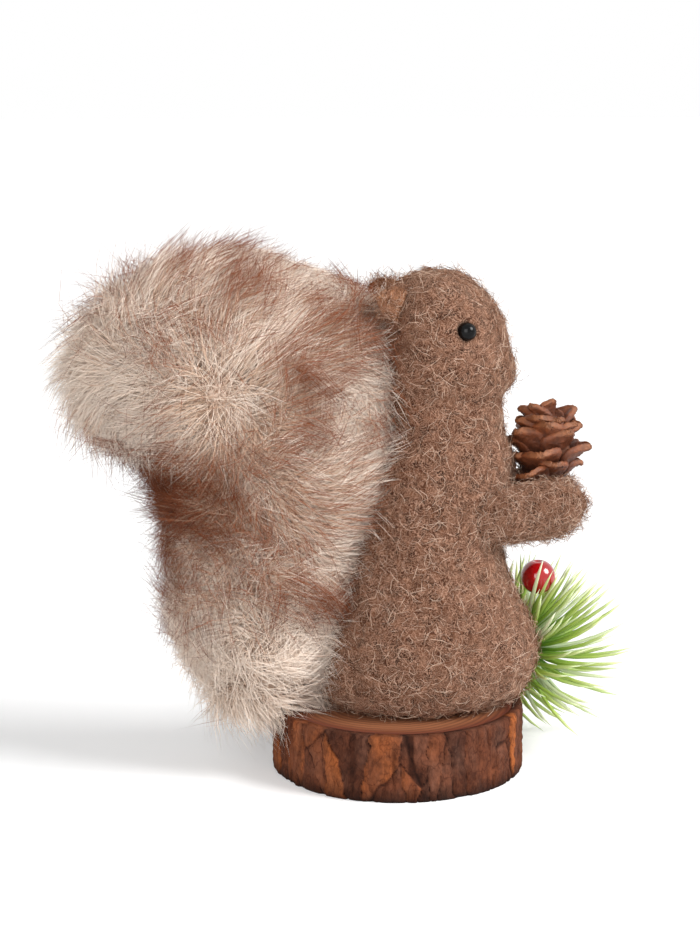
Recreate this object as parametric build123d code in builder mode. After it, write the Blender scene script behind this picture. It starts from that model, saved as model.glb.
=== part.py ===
import math
import os

from build123d import *

# All lengths are in millimetres. +Z is up, the squirrel faces -Y and its right side is -X.

# Base: a slice cut across a branch, still in its bark
slice_diameter = 60.0
slice_thickness = 15.5
bark_thickness = 2.8
slice_edge_chamfer = 0.8
slice_side_margin = 8.2

# Body and head: felt over a wool core, on one slightly leaning axis
glue_thickness = 0.8
glue_pad_radius = 11.0
felt_thickness = 3.0
body_height = 70.2
body_depth_ratio = 1.2
head_height = 32.1
head_depth = 32.5
head_width = 28.8
foot_forward = 4.0
crown_lean = 4.0

# Rows from the foot to the neck: share of the height, then of the depth ahead of and behind
# the axis, then half the width as a share of the width
BODY_PROFILE = (
    (0.000, 0.439, 0.420, 0.413),
    (0.038, 0.496, 0.454, 0.459),
    (0.181, 0.542, 0.458, 0.500),
    (0.352, 0.452, 0.408, 0.459),
    (0.509, 0.368, 0.342, 0.413),
    (0.680, 0.387, 0.294, 0.374),
    (0.822, 0.399, 0.244, 0.344),
    (1.000, 0.347, 0.214, 0.303),
)
# Rows above the neck up to the crown, in the same shares of the head's own sizes
HEAD_PROFILE = (
    (0.140, 0.582, 0.366, 0.472),
    (0.265, 0.618, 0.382, 0.490),
    (0.421, 0.572, 0.388, 0.500),
    (0.607, 0.520, 0.375, 0.493),
    (0.763, 0.428, 0.329, 0.444),
    (0.888, 0.305, 0.258, 0.347),
    (0.969, 0.169, 0.154, 0.191),
    (1.000, 0.055, 0.055, 0.069),
)

# Dowel through the figure
dowel_diameter = 4.0
dowel_depth_in_slice = 8.0
dowel_height_in_head = 15.0

# Bead eyes on short shanks
eye_diameter = 4.3
eye_sink = 0.5
eye_height_share = 0.583
eye_forward_angle = 23.4
shank_diameter = 0.9
shank_length = 6.0

# Ears, laid back
ear_length = 8.0
ear_root = 7.0
ear_thickness = 2.2
ear_edge_radius = 0.8
ear_height_share = 0.75
ear_back_angle = 49.0
ear_lift = 14.0

# Arms with a wire in each
arm_height = 15.0
arm_width = 10.0
arm_height_share = 0.66
arm_root_depth = 11.2
arm_reach = 16.4
arm_root_spread = 10.0
arm_tip_spread = 7.2
arm_rise = 2.6
arm_wire_diameter = 1.2
arm_wire_anchor = 8.0
arm_wire_cover = 8.0
ARM_PROFILE = ((0.0, 0.80), (0.3, 0.97), (0.6, 1.0), (0.83, 0.84), (0.95, 0.50), (1.0, 0.15))

# Tail: two fur panels around a filling
tail_bottom = 13.0
tail_height = 110.5
tail_depth = 74.0
tail_width = 48.0
tail_behind_body = 8.0
tail_fill_share = 0.66
tail_fill_inset = 9.0
tail_backing = 1.2
tail_slice_gap = 0.3
tail_glue_width = 12.0
tail_glue_low_share = 0.16
tail_glue_high_share = 0.92
# Rows from the low end to the top: share of the height, shift of the middle to the rear,
# half depth and half width as shares
TAIL_PROFILE = (
    (0.000, 0.000, 0.108, 0.146),
    (0.027, 0.000, 0.176, 0.271),
    (0.127, 0.000, 0.223, 0.375),
    (0.262, 0.007, 0.277, 0.417),
    (0.389, -0.017, 0.307, 0.427),
    (0.516, -0.034, 0.358, 0.448),
    (0.579, -0.007, 0.399, 0.469),
    (0.633, 0.057, 0.470, 0.485),
    (0.733, 0.081, 0.500, 0.500),
    (0.833, 0.068, 0.466, 0.469),
    (0.914, 0.041, 0.365, 0.385),
    (0.968, 0.054, 0.230, 0.250),
    (1.000, 0.068, 0.081, 0.104),
)

# Cone between the hands
cone_ahead = 8.6
cone_height = 18.0
cone_core_diameter = 8.6
cone_sink = 3.2
scale_thickness = 0.8
scale_fill = 0.88
scale_shoulder = 0.62
# Rows from the stalk to the tip: share of the height, number of scales, reach, tilt
CONE_ROWS = (
    (0.14, 7, 7.6, 8.0),
    (0.30, 8, 9.4, 18.0),
    (0.46, 8, 10.2, 30.0),
    (0.60, 7, 9.8, 42.0),
    (0.74, 6, 8.6, 56.0),
)

# Needle tuft on a bent twig, and the berry
twig_diameter = 2.0
twig_depth_in_slice = 7.0
twig_gap = 1.2
twig_forward_share = 0.21
twig_rise = 7.0
twig_bend_radius = 4.0
tuft_ahead = 0.2
tuft_side_share = 0.69
tuft_height = 24.5
needle_length = 20.0
needle_base_radius = 0.32
needle_root_radius = 0.98
needle_tip_radius = 0.1
needle_sides = 4
needles_per_whorl = 8
whorl_pitch = 1.1
needle_wide_angle = 82.0
needle_narrow_angle = 18.0
needle_floor_gap = 0.5
needle_clear = 0.6
berry_diameter = 8.4
berry_ahead = 1.6
berry_side_share = 0.41
berry_height = 43.0
berry_wire_diameter = 0.9
berry_wire_depth = 2.0
glue_drop_radius = 2.4
glue_drop_height = 1.4

# Sizes that follow from the ones above
slice_radius = slice_diameter / 2
wood_radius = slice_radius - bark_thickness
body_width = slice_diameter - 2 * slice_side_margin
body_depth = body_depth_ratio * body_width
body_bottom = slice_thickness + glue_thickness
neck_height = body_bottom + body_height
crown_height = neck_height + head_height
figure_height = crown_height - body_bottom
belly = BODY_PROFILE[2]
chest = BODY_PROFILE[6]
parts_dir = "parts"


def axis_forward(height):
    """Distance of the figure's axis ahead of the slice's centre at a height."""
    return foot_forward + crown_lean * (height - body_bottom) / figure_height


chest_front = axis_forward(body_bottom + chest[0] * body_height) + chest[1] * body_depth
belly_front = axis_forward(body_bottom + belly[0] * body_height) + belly[1] * body_depth
tail_back = belly[2] * body_depth + tail_behind_body
arm_root_forward = chest_front - arm_root_depth
arm_tip_forward = chest_front + arm_reach
cone_forward = chest_front + cone_ahead
tuft_forward = belly_front + tuft_ahead
tuft_side = tuft_side_share * body_width / 2
berry_forward = belly_front + berry_ahead
berry_side = berry_side_share * body_width / 2


def egg_face(plane, half_width, ahead, behind):
    """A closed oval in a plane: its half width, then its reach along -y and +y of the plane."""
    with BuildSketch(plane) as oval:
        with BuildLine():
            EllipticalCenterArc((0, 0), half_width, behind, 0, arc_size=90)
            EllipticalCenterArc((0, 0), half_width, behind, 90, arc_size=90)
            EllipticalCenterArc((0, 0), half_width, ahead, 180, arc_size=90)
            EllipticalCenterArc((0, 0), half_width, ahead, 270, arc_size=90)
        make_face()
    return oval.sketch


def figure_face(height, ahead, behind, half_width):
    """A level section of the body or head, centred on the leaning axis."""
    plane = Plane(origin=(0, -axis_forward(height), height))
    return egg_face(plane, half_width, ahead, behind)


def body_faces(inset, low):
    """Level sections of the body, drawn in by an inset and beginning at a low height."""
    faces = []
    for share, ahead, behind, half_width in BODY_PROFILE:
        height = max(low, body_bottom + share * body_height)
        if share == 0.0:
            height = low
        faces.append(
            figure_face(
                height,
                ahead * body_depth - inset,
                behind * body_depth - inset,
                half_width * body_width - inset,
            )
        )
    return faces


def head_faces(inset):
    """Level sections of the head from the neck up, drawn in by an inset."""
    neck = BODY_PROFILE[-1]
    faces = [
        figure_face(
            neck_height,
            neck[1] * body_depth - inset,
            neck[2] * body_depth - inset,
            neck[3] * body_width - inset,
        )
    ]
    shrink = 1 - inset / (head_width / 2)
    for share, ahead, behind, half_width in HEAD_PROFILE:
        faces.append(
            figure_face(
                neck_height + share * (head_height - inset),
                ahead * head_depth * shrink,
                behind * head_depth * shrink,
                half_width * head_width * shrink,
            )
        )
    return faces


def tail_faces(share_of_size, inset):
    """Level sections of the tail, smaller by a share and shorter by an inset at each end."""
    faces = []
    for share, shift, half_depth, half_width in TAIL_PROFILE:
        height = tail_bottom + inset + share * (tail_height - 2 * inset)
        plane = Plane(origin=(0, tail_back + shift * tail_depth, height))
        depth = half_depth * tail_depth * share_of_size
        faces.append(egg_face(plane, half_width * tail_width * share_of_size, depth, depth))
    return faces


def profile_at(profile, share, depth, width):
    """Reach ahead, reach behind and half width of a profile at a share of its height."""
    low = profile[0]
    high = profile[-1]
    for row in profile:
        if row[0] <= share:
            low = row
    for row in reversed(profile):
        if row[0] > share:
            high = row
    mix = (share - low[0]) / (high[0] - low[0])
    ahead, behind, half_width = [a + mix * (b - a) for a, b in zip(low[1:], high[1:])]
    return ahead * depth, behind * depth, half_width * width


def eye_plane(side):
    """Plane on the head's surface at an eye, its normal pointing outward."""
    height = neck_height + eye_height_share * head_height
    ahead, behind, half_width = profile_at(HEAD_PROFILE, eye_height_share, head_depth, head_width)
    turn = math.radians(eye_forward_angle)
    across = half_width * math.cos(turn)
    forward = ahead * math.sin(turn)
    normal = Vector(side * across / half_width**2, -forward / ahead**2, 0)
    point = (side * across, -(axis_forward(height) + forward), height)
    return Plane(origin=point, z_dir=normal)


def ear_plane(side):
    """Plane of an ear: its x axis points out of the head and its y axis upward."""
    height = neck_height + ear_height_share * head_height
    ahead, behind, half_width = profile_at(HEAD_PROFILE, ear_height_share, head_depth, head_width)
    turn = math.radians(ear_back_angle)
    across = half_width * math.cos(turn)
    back = behind * math.sin(turn)
    outward = Vector(side * across / half_width**2, back / behind**2, 0).normalized()
    lift = math.radians(ear_lift)
    along = outward * math.cos(lift) + Vector(0, 0, math.sin(lift))
    upward = outward * -math.sin(lift) + Vector(0, 0, math.cos(lift))
    point = (side * across, back - axis_forward(height), height)
    return Plane(origin=point, x_dir=along, z_dir=along.cross(upward))


def arm_point(side, share):
    """A point on the middle line of an arm, from its root (0) to its tip (1)."""
    forward = arm_root_forward + share * (arm_tip_forward - arm_root_forward)
    spread = arm_root_spread + share * (arm_tip_spread - arm_root_spread)
    height = body_bottom + arm_height_share * body_height + (share - 0.5) * arm_rise
    return Vector(side * spread, -forward, height)


def arm_faces(side):
    """Upright sections of an arm from inside the chest to the hand's tip."""
    faces = []
    for share, size in ARM_PROFILE:
        plane = Plane(origin=arm_point(side, share), x_dir=(1, 0, 0), z_dir=(0, -1, 0))
        half_height = arm_height / 2 * size
        faces.append(egg_face(plane, arm_width / 2 * size, half_height, half_height))
    return faces


def arm_wire_plane(side):
    """Plane at the inner end of an arm's wire, its normal along the arm."""
    along = (arm_point(side, 1) - arm_point(side, 0)).normalized()
    return Plane(origin=arm_point(side, 0) - along * arm_wire_anchor, z_dir=along)


arm_wire_length = (arm_point(1, 1) - arm_point(1, 0)).length + arm_wire_anchor - arm_wire_cover

# Solids that shape the pieces: the figure's outside, its wool cores and the room it needs
with BuildPart() as body_outside:
    loft(body_faces(0, body_bottom))

with BuildPart() as head_outside:
    loft(head_faces(0))

with BuildPart() as figure_room:
    loft(body_faces(-glue_thickness, body_bottom - glue_thickness))
    loft(head_faces(-glue_thickness))

# Dowel
dowel_bottom = slice_thickness - dowel_depth_in_slice
dowel_forward = axis_forward(neck_height)
with BuildPart() as spine_dowel:
    with BuildSketch(Plane.XY.offset(dowel_bottom)):
        with Locations((0, -dowel_forward)):
            Circle(dowel_diameter / 2)
    extrude(amount=neck_height + dowel_height_in_head - dowel_bottom)
spine_dowel.part.label = "spine_dowel"

# Eyes
with BuildPart() as eye_left:
    with Locations(eye_plane(1).offset(-eye_sink)):
        Sphere(eye_diameter / 2)
        Cylinder(shank_diameter / 2, shank_length, align=(Align.CENTER, Align.CENTER, Align.MAX))
eye_left.part.label = "eye_left"

with BuildPart() as eye_right:
    with Locations(eye_plane(-1).offset(-eye_sink)):
        Sphere(eye_diameter / 2)
        Cylinder(shank_diameter / 2, shank_length, align=(Align.CENTER, Align.CENTER, Align.MAX))
eye_right.part.label = "eye_right"

# Arm wires
with BuildPart() as arm_wire_left:
    with BuildSketch(arm_wire_plane(1)):
        Circle(arm_wire_diameter / 2)
    extrude(amount=arm_wire_length)
arm_wire_left.part.label = "arm_wire_left"

with BuildPart() as arm_wire_right:
    with BuildSketch(arm_wire_plane(-1)):
        Circle(arm_wire_diameter / 2)
    extrude(amount=arm_wire_length)
arm_wire_right.part.label = "arm_wire_right"

# Wool cores, with the dowel, the wires and the eye shanks in them
with BuildPart() as body_core:
    loft(body_faces(felt_thickness, body_bottom + felt_thickness))
    add(spine_dowel.part, mode=Mode.SUBTRACT)
    add(arm_wire_left.part, mode=Mode.SUBTRACT)
    add(arm_wire_right.part, mode=Mode.SUBTRACT)
body_core.part.label = "body_core"

with BuildPart() as head_core:
    loft(head_faces(felt_thickness))
    add(spine_dowel.part, mode=Mode.SUBTRACT)
    add(eye_left.part, mode=Mode.SUBTRACT)
    add(eye_right.part, mode=Mode.SUBTRACT)
head_core.part.label = "head_core"

# Felt covers
with BuildPart() as body_felt:
    add(body_outside.part)
    loft(body_faces(felt_thickness, body_bottom + felt_thickness), mode=Mode.SUBTRACT)
    add(spine_dowel.part, mode=Mode.SUBTRACT)
    add(arm_wire_left.part, mode=Mode.SUBTRACT)
    add(arm_wire_right.part, mode=Mode.SUBTRACT)
body_felt.part.label = "body_felt"

with BuildPart() as head_felt:
    add(head_outside.part)
    loft(head_faces(felt_thickness), mode=Mode.SUBTRACT)
    add(eye_left.part, mode=Mode.SUBTRACT)
    add(eye_right.part, mode=Mode.SUBTRACT)
head_felt.part.label = "head_felt"


def ear_face(side):
    """Outline of an ear: its root inside the head and a soft point at the far end."""
    root = ear_root / 2
    with BuildSketch(ear_plane(side)) as outline:
        with BuildLine():
            Line((-ear_length / 4, -root), (-ear_length / 4, root))
            ThreePointArc((-ear_length / 4, root), (ear_length / 2, root * 1.2), (ear_length, root / 4))
            ThreePointArc((ear_length, root / 4), (ear_length / 2, -root), (-ear_length / 4, -root))
        make_face()
    return outline.sketch


# Ears
with BuildPart() as ear_left:
    extrude(ear_face(1), amount=ear_thickness / 2, both=True)
    fillet(ear_left.edges(), radius=ear_edge_radius)
    add(head_outside.part, mode=Mode.SUBTRACT)
ear_left.part.label = "ear_left"

with BuildPart() as ear_right:
    extrude(ear_face(-1), amount=ear_thickness / 2, both=True)
    fillet(ear_right.edges(), radius=ear_edge_radius)
    add(head_outside.part, mode=Mode.SUBTRACT)
ear_right.part.label = "ear_right"

# Arms, their roots trimmed to the chest
with BuildPart() as arm_left:
    loft(arm_faces(1))
    add(body_outside.part, mode=Mode.SUBTRACT)
    add(arm_wire_left.part, mode=Mode.SUBTRACT)
arm_left.part.label = "arm_left"

with BuildPart() as arm_right:
    loft(arm_faces(-1))
    add(body_outside.part, mode=Mode.SUBTRACT)
    add(arm_wire_right.part, mode=Mode.SUBTRACT)
arm_right.part.label = "arm_right"

# Tail: filling, then the fur around it in two panels that meet at the middle plane
with BuildPart() as tail_filling:
    loft(tail_faces(tail_fill_share, tail_fill_inset))
    loft(body_faces(-glue_thickness - tail_backing, body_bottom - glue_thickness), mode=Mode.SUBTRACT)
tail_filling.part.label = "tail_filling"

with BuildPart() as tail_fur:
    loft(tail_faces(1, 0))
    add(figure_room.part, mode=Mode.SUBTRACT)
    add(tail_filling.part, mode=Mode.SUBTRACT)
    with BuildSketch(Plane.XY):
        Circle(slice_radius + tail_slice_gap)
    extrude(amount=slice_thickness + tail_slice_gap, mode=Mode.SUBTRACT)

with BuildPart() as tail_fur_left:
    add(tail_fur.part)
    split(bisect_by=Plane.YZ, keep=Keep.TOP)
tail_fur_left.part.label = "tail_fur_left"

with BuildPart() as tail_fur_right:
    add(tail_fur.part)
    split(bisect_by=Plane.YZ, keep=Keep.BOTTOM)
tail_fur_right.part.label = "tail_fur_right"

# Glue between the tail and the back
with BuildPart() as tail_glue_strip:
    loft(body_faces(-glue_thickness, body_bottom - glue_thickness))
    add(body_outside.part, mode=Mode.SUBTRACT)
    with BuildSketch(Plane.XY.offset(body_bottom + tail_glue_low_share * body_height)):
        with Locations((0, -foot_forward)):
            Rectangle(tail_glue_width, body_depth, align=(Align.CENTER, Align.MIN))
    extrude(
        amount=(tail_glue_high_share - tail_glue_low_share) * body_height,
        mode=Mode.INTERSECT,
    )
tail_glue_strip.part.label = "tail_glue_strip"

# Cone: core first, then the rows of scales trimmed to it
arm_top = arm_point(1, 0.7).Z + arm_height / 2
cone_bottom = arm_top - cone_sink
cone_core_radius = cone_core_diameter / 2
with BuildPart() as cone_core:
    with BuildSketch(Plane(origin=(0, -cone_forward, cone_bottom), x_dir=(1, 0, 0), z_dir=(0, -1, 0))):
        with BuildLine():
            Line((0, 0), (cone_core_radius / 2, 0))
            ThreePointArc(
                (cone_core_radius / 2, 0),
                (cone_core_radius, cone_height * 0.35),
                (cone_core_radius / 4, cone_height * 0.9),
            )
            Line((cone_core_radius / 4, cone_height * 0.9), (0, cone_height * 0.9))
            Line((0, cone_height * 0.9), (0, 0))
        make_face()
    revolve(axis=Axis((0, -cone_forward, cone_bottom), (0, 0, 1)))
cone_core.part.label = "cone_core"


def scale_face(row, number):
    """Outline of one scale, lying in its tilted plane with its neck inside the core."""
    share, count, reach, tilt = CONE_ROWS[row]
    turn = 2 * math.pi * (number + 0.5 * (row % 2)) / count
    rise = math.radians(tilt)
    out = Vector(math.cos(turn), math.sin(turn), 0)
    along = out * math.cos(rise) + Vector(0, 0, math.sin(rise))
    normal = out * -math.sin(rise) + Vector(0, 0, math.cos(rise))
    plane = Plane(
        origin=(0, -cone_forward, cone_bottom + share * cone_height),
        x_dir=along,
        z_dir=normal,
    )
    start = cone_core_radius / 4
    shoulder = reach * scale_shoulder
    slope = math.cos(rise) * math.tan(scale_fill * math.pi / count)
    with BuildSketch(plane) as outline:
        with BuildLine():
            Line((start, -start * slope), (start, start * slope))
            Line((start, start * slope), (shoulder, shoulder * slope))
            ThreePointArc((shoulder, shoulder * slope), (reach, 0), (shoulder, -shoulder * slope))
            Line((shoulder, -shoulder * slope), (start, -start * slope))
        make_face()
    return outline.sketch


with BuildPart() as cone_scales_row_1:
    for number in range(CONE_ROWS[0][1]):
        extrude(scale_face(0, number), amount=-scale_thickness)
    add(cone_core.part, mode=Mode.SUBTRACT)
    add(arm_left.part, mode=Mode.SUBTRACT)
    add(arm_right.part, mode=Mode.SUBTRACT)
    add(body_outside.part, mode=Mode.SUBTRACT)
cone_scales_row_1.part.label = "cone_scales_row_1"

with BuildPart() as cone_scales_row_2:
    for number in range(CONE_ROWS[1][1]):
        extrude(scale_face(1, number), amount=-scale_thickness)
    add(cone_core.part, mode=Mode.SUBTRACT)
    add(arm_left.part, mode=Mode.SUBTRACT)
    add(arm_right.part, mode=Mode.SUBTRACT)
    add(body_outside.part, mode=Mode.SUBTRACT)
cone_scales_row_2.part.label = "cone_scales_row_2"

with BuildPart() as cone_scales_row_3:
    for number in range(CONE_ROWS[2][1]):
        extrude(scale_face(2, number), amount=-scale_thickness)
    add(cone_core.part, mode=Mode.SUBTRACT)
cone_scales_row_3.part.label = "cone_scales_row_3"

with BuildPart() as cone_scales_row_4:
    for number in range(CONE_ROWS[3][1]):
        extrude(scale_face(3, number), amount=-scale_thickness)
    add(cone_core.part, mode=Mode.SUBTRACT)
cone_scales_row_4.part.label = "cone_scales_row_4"

with BuildPart() as cone_scales_row_5:
    for number in range(CONE_ROWS[4][1]):
        extrude(scale_face(4, number), amount=-scale_thickness)
    add(cone_core.part, mode=Mode.SUBTRACT)
cone_scales_row_5.part.label = "cone_scales_row_5"

# Twig: upright in the slice, then bent forward to the tuft
twig_x = body_width / 2 + twig_gap
twig_y = -twig_forward_share * body_depth
twig_foot = Vector(twig_x, twig_y, slice_thickness - twig_depth_in_slice)
twig_knee = Vector(twig_x, twig_y, slice_thickness + twig_rise)
twig_end = Vector(tuft_side, -tuft_forward, tuft_height)
with BuildPart() as sprig_twig:
    with BuildLine() as twig_path:
        FilletPolyline(twig_foot, twig_knee, twig_end, radius=twig_bend_radius)
    with BuildSketch(Plane(origin=twig_foot, z_dir=(0, 0, 1))):
        Circle(twig_diameter / 2)
    sweep(path=twig_path.wires()[0])
sprig_twig.part.label = "sprig_twig"

# Berry on its wire, which enters the twig near its end
twig_along = (twig_end - twig_knee).normalized()
berry_center = Vector(berry_side, -berry_forward, berry_height)
berry_root = twig_end - twig_along * berry_wire_depth
berry_up = (berry_center - berry_root).normalized()
with BuildPart() as berry_wire:
    with BuildSketch(Plane(origin=berry_root, z_dir=berry_up)):
        Circle(berry_wire_diameter / 2)
    extrude(amount=(berry_center - berry_root).length)
    add(sprig_twig.part, mode=Mode.SUBTRACT)
berry_wire.part.label = "berry_wire"

with BuildPart() as berry:
    with Locations(Location(berry_center)):
        Sphere(berry_diameter / 2)
    add(berry_wire.part, mode=Mode.SUBTRACT)
berry.part.label = "berry"

# Needles: whorls along the twig's end, opening from narrow at the tip to wide behind it
whorl_count = 11
twig_side_dir = twig_along.cross(Vector(0, 0, 1)).normalized()
twig_up_dir = twig_side_dir.cross(twig_along)


def is_clear(point):
    """Whether a needle may pass a point: away from the floor, slice, body and berry."""
    if point.Z < needle_floor_gap:
        return False
    from_slice = math.hypot(point.X, point.Y) - slice_radius
    if point.Z < slice_thickness + needle_clear and from_slice < needle_clear:
        return False
    if (point - berry_center).length < berry_diameter / 2 + needle_clear:
        return False
    share = max(0, min(0.99, (point.Z - body_bottom) / body_height))
    ahead, behind, half_width = profile_at(BODY_PROFILE, share, body_depth, body_width)
    forward = -point.Y - axis_forward(point.Z)
    across = point.X / (half_width + needle_clear)
    return math.hypot(across, forward / (ahead + needle_clear)) > 1


def needle_planes(first, last):
    """Planes at the roots of the needles of some whorls, without those that would hit something."""
    planes = []
    for whorl in range(first, last):
        spread = needle_narrow_angle + (needle_wide_angle - needle_narrow_angle) * whorl / (whorl_count - 1)
        opening = math.radians(spread)
        for number in range(needles_per_whorl):
            turn = 2 * math.pi * (number + 0.5 * (whorl % 2)) / needles_per_whorl
            across = twig_side_dir * math.cos(turn) + twig_up_dir * math.sin(turn)
            along = twig_along * math.cos(opening) + across * math.sin(opening)
            root = twig_end - twig_along * (whorl * whorl_pitch) + across * needle_root_radius
            if all(is_clear(root + along * (needle_length * step / 8)) for step in range(1, 9)):
                planes.append(Plane(origin=root, z_dir=along))
    return planes


needle_taper = math.degrees(math.atan((needle_base_radius - needle_tip_radius) / needle_length))
with BuildPart() as needles_tip:
    with BuildSketch(*needle_planes(0, 4)):
        RegularPolygon(needle_base_radius, needle_sides)
    extrude(amount=needle_length, taper=needle_taper)
    add(sprig_twig.part, mode=Mode.SUBTRACT)
    add(berry_wire.part, mode=Mode.SUBTRACT)
needles_tip.part.label = "needles_tip"

with BuildPart() as needles_middle:
    with BuildSketch(*needle_planes(4, 8)):
        RegularPolygon(needle_base_radius, needle_sides)
    extrude(amount=needle_length, taper=needle_taper)
    add(sprig_twig.part, mode=Mode.SUBTRACT)
    add(berry_wire.part, mode=Mode.SUBTRACT)
needles_middle.part.label = "needles_middle"

with BuildPart() as needles_back:
    with BuildSketch(*needle_planes(8, whorl_count)):
        RegularPolygon(needle_base_radius, needle_sides)
    extrude(amount=needle_length, taper=needle_taper)
    add(sprig_twig.part, mode=Mode.SUBTRACT)
    add(berry_wire.part, mode=Mode.SUBTRACT)
needles_back.part.label = "needles_back"

# Base
with BuildPart() as wood_slice:
    with BuildSketch(Plane.XY):
        Circle(wood_radius)
    extrude(amount=slice_thickness)
    add(spine_dowel.part, mode=Mode.SUBTRACT)
    add(sprig_twig.part, mode=Mode.SUBTRACT)
wood_slice.part.label = "wood_slice"

with BuildPart() as bark_ring:
    with BuildSketch(Plane.XY):
        Circle(slice_radius)
    extrude(amount=slice_thickness)
    chamfer(bark_ring.edges(), length=slice_edge_chamfer)
    with BuildSketch(Plane.XY):
        Circle(wood_radius)
    extrude(amount=slice_thickness, mode=Mode.SUBTRACT)
    add(sprig_twig.part, mode=Mode.SUBTRACT)
bark_ring.part.label = "bark_ring"

# Glue under the body and at the foot of the twig
with BuildPart() as body_glue_pad:
    with BuildSketch(Plane.XY.offset(slice_thickness)):
        with Locations((0, -dowel_forward)):
            Circle(glue_pad_radius)
            Circle(dowel_diameter / 2, mode=Mode.SUBTRACT)
    extrude(amount=glue_thickness)
body_glue_pad.part.label = "body_glue_pad"

with BuildPart() as sprig_glue:
    with BuildSketch(Plane.XY.offset(slice_thickness)):
        with Locations((twig_x, twig_y)):
            Circle(glue_drop_radius)
    extrude(amount=glue_drop_height, taper=40)
    add(sprig_twig.part, mode=Mode.SUBTRACT)
    add(body_outside.part, mode=Mode.SUBTRACT)
sprig_glue.part.label = "sprig_glue"

os.makedirs(parts_dir, exist_ok=True)
for piece in (
    wood_slice,
    bark_ring,
    spine_dowel,
    body_glue_pad,
    body_core,
    body_felt,
    head_core,
    head_felt,
    ear_left,
    ear_right,
    eye_left,
    eye_right,
    arm_left,
    arm_right,
    arm_wire_left,
    arm_wire_right,
    tail_fur_left,
    tail_fur_right,
    tail_filling,
    tail_glue_strip,
    cone_core,
    cone_scales_row_1,
    cone_scales_row_2,
    cone_scales_row_3,
    cone_scales_row_4,
    cone_scales_row_5,
    sprig_twig,
    needles_tip,
    needles_middle,
    needles_back,
    berry,
    berry_wire,
    sprig_glue,
):
    export_step(piece.part, f"{parts_dir}/{piece.part.label}.step")
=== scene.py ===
# %% [markdown]
# # A felt squirrel with a fur tail
# The squirrel stands on a slice of branch, holds a small cone and has a tuft of needles at its
# feet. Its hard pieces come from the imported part. The wool, fur, bark, cone scales and needles
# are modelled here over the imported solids, which stay exactly where they are.

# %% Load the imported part
import math

import bpy
import numpy as np
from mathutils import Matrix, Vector, kdtree


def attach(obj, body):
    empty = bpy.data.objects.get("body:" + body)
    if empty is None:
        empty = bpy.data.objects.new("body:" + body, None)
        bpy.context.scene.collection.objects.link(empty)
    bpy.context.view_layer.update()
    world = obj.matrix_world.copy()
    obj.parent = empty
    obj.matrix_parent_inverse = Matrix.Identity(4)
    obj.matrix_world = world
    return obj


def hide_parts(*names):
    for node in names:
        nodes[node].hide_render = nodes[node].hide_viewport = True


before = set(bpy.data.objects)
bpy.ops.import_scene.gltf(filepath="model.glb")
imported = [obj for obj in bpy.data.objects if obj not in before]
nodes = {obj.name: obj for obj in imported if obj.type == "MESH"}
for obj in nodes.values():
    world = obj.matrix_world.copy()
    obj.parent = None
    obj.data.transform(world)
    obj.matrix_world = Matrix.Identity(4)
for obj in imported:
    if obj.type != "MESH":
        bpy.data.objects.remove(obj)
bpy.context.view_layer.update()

print("packed nodes:", len(nodes))

# %% [markdown]
# ## Small helpers
# Operators act on whatever is selected, so each step begins by clearing the selection and choosing
# one object. A finished piece is smooth, keeps its place in its mesh, wears its material, hangs
# under the root body and hides the imported nodes that it stands for.

# %% Helpers for selecting and finishing


def choose(piece):
    """Select one object alone and make it active."""
    bpy.ops.object.select_all(action="DESELECT")
    piece.select_set(True)
    bpy.context.view_layer.objects.active = piece


def apply_all(piece):
    """Apply every modifier of a piece in order."""
    choose(piece)
    for modifier in list(piece.modifiers):
        bpy.ops.object.modifier_apply(modifier=modifier.name)


def settle(piece, name, material, stands_for):
    """Name a piece, dress it, hang it under the root body and hide the nodes that it replaces."""
    choose(piece)
    bpy.ops.object.transform_apply(location=True, rotation=True, scale=True)
    bpy.ops.object.shade_smooth()
    piece.name = name
    piece.data.name = name
    piece.data.materials.clear()
    piece.data.materials.append(material)
    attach(piece, "root")
    if stands_for:
        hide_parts(*stands_for)
    piece.data.calc_loop_triangles()
    print(name, "triangles:", len(piece.data.loop_triangles))


# %% [markdown]
# ## Soft forms
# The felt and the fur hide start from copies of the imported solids, so they sit where the solids
# do. A boolean could unite them, but it would keep a sharp seam at the neck. Here the copies are
# joined, their loose triangles merged, and a voxel remesh makes one closed skin of even faces,
# which can then be relaxed like soft stuff.

# %% Helpers for soft forms

MERGE_GAP = 0.00001


def merged_form(targets, grain):
    """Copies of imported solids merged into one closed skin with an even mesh."""
    bpy.ops.object.select_all(action="DESELECT")
    for name in targets:
        twin = nodes[name].copy()
        twin.data = nodes[name].data.copy()
        bpy.context.collection.objects.link(twin)
        twin.select_set(True)
        bpy.context.view_layer.objects.active = twin
    if len(targets) > 1:
        bpy.ops.object.join()
    form = bpy.context.view_layer.objects.active
    bpy.ops.object.mode_set(mode="EDIT")
    bpy.ops.mesh.select_all(action="SELECT")
    bpy.ops.mesh.remove_doubles(threshold=MERGE_GAP)
    bpy.ops.object.mode_set(mode="OBJECT")
    even = form.modifiers.new("even_mesh", "REMESH")
    even.mode = "VOXEL"
    even.voxel_size = grain
    apply_all(form)
    return form


def relax(form, rounds):
    """Add a modifier that evens a form out, more with more rounds."""
    smooth = form.modifiers.new("relax", "SMOOTH")
    smooth.factor = 0.5
    smooth.iterations = rounds


# %% [markdown]
# ## Strands
# Fur, wool fibres and needles are all thin and tapering. Blender's hair could grow them, but an
# exported model keeps only meshes, so each is a small rod. The faces of one rod are laid out once
# and then repeated along thousands of paths in a single mesh. A rod carries its shade in the U of
# its UV map and the way from root to tip in V, so one material can colour them all.

# %% Faces of one rod

TONES = 32
CELL_MARGIN = 0.2
END_MARGIN = 0.02


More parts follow.
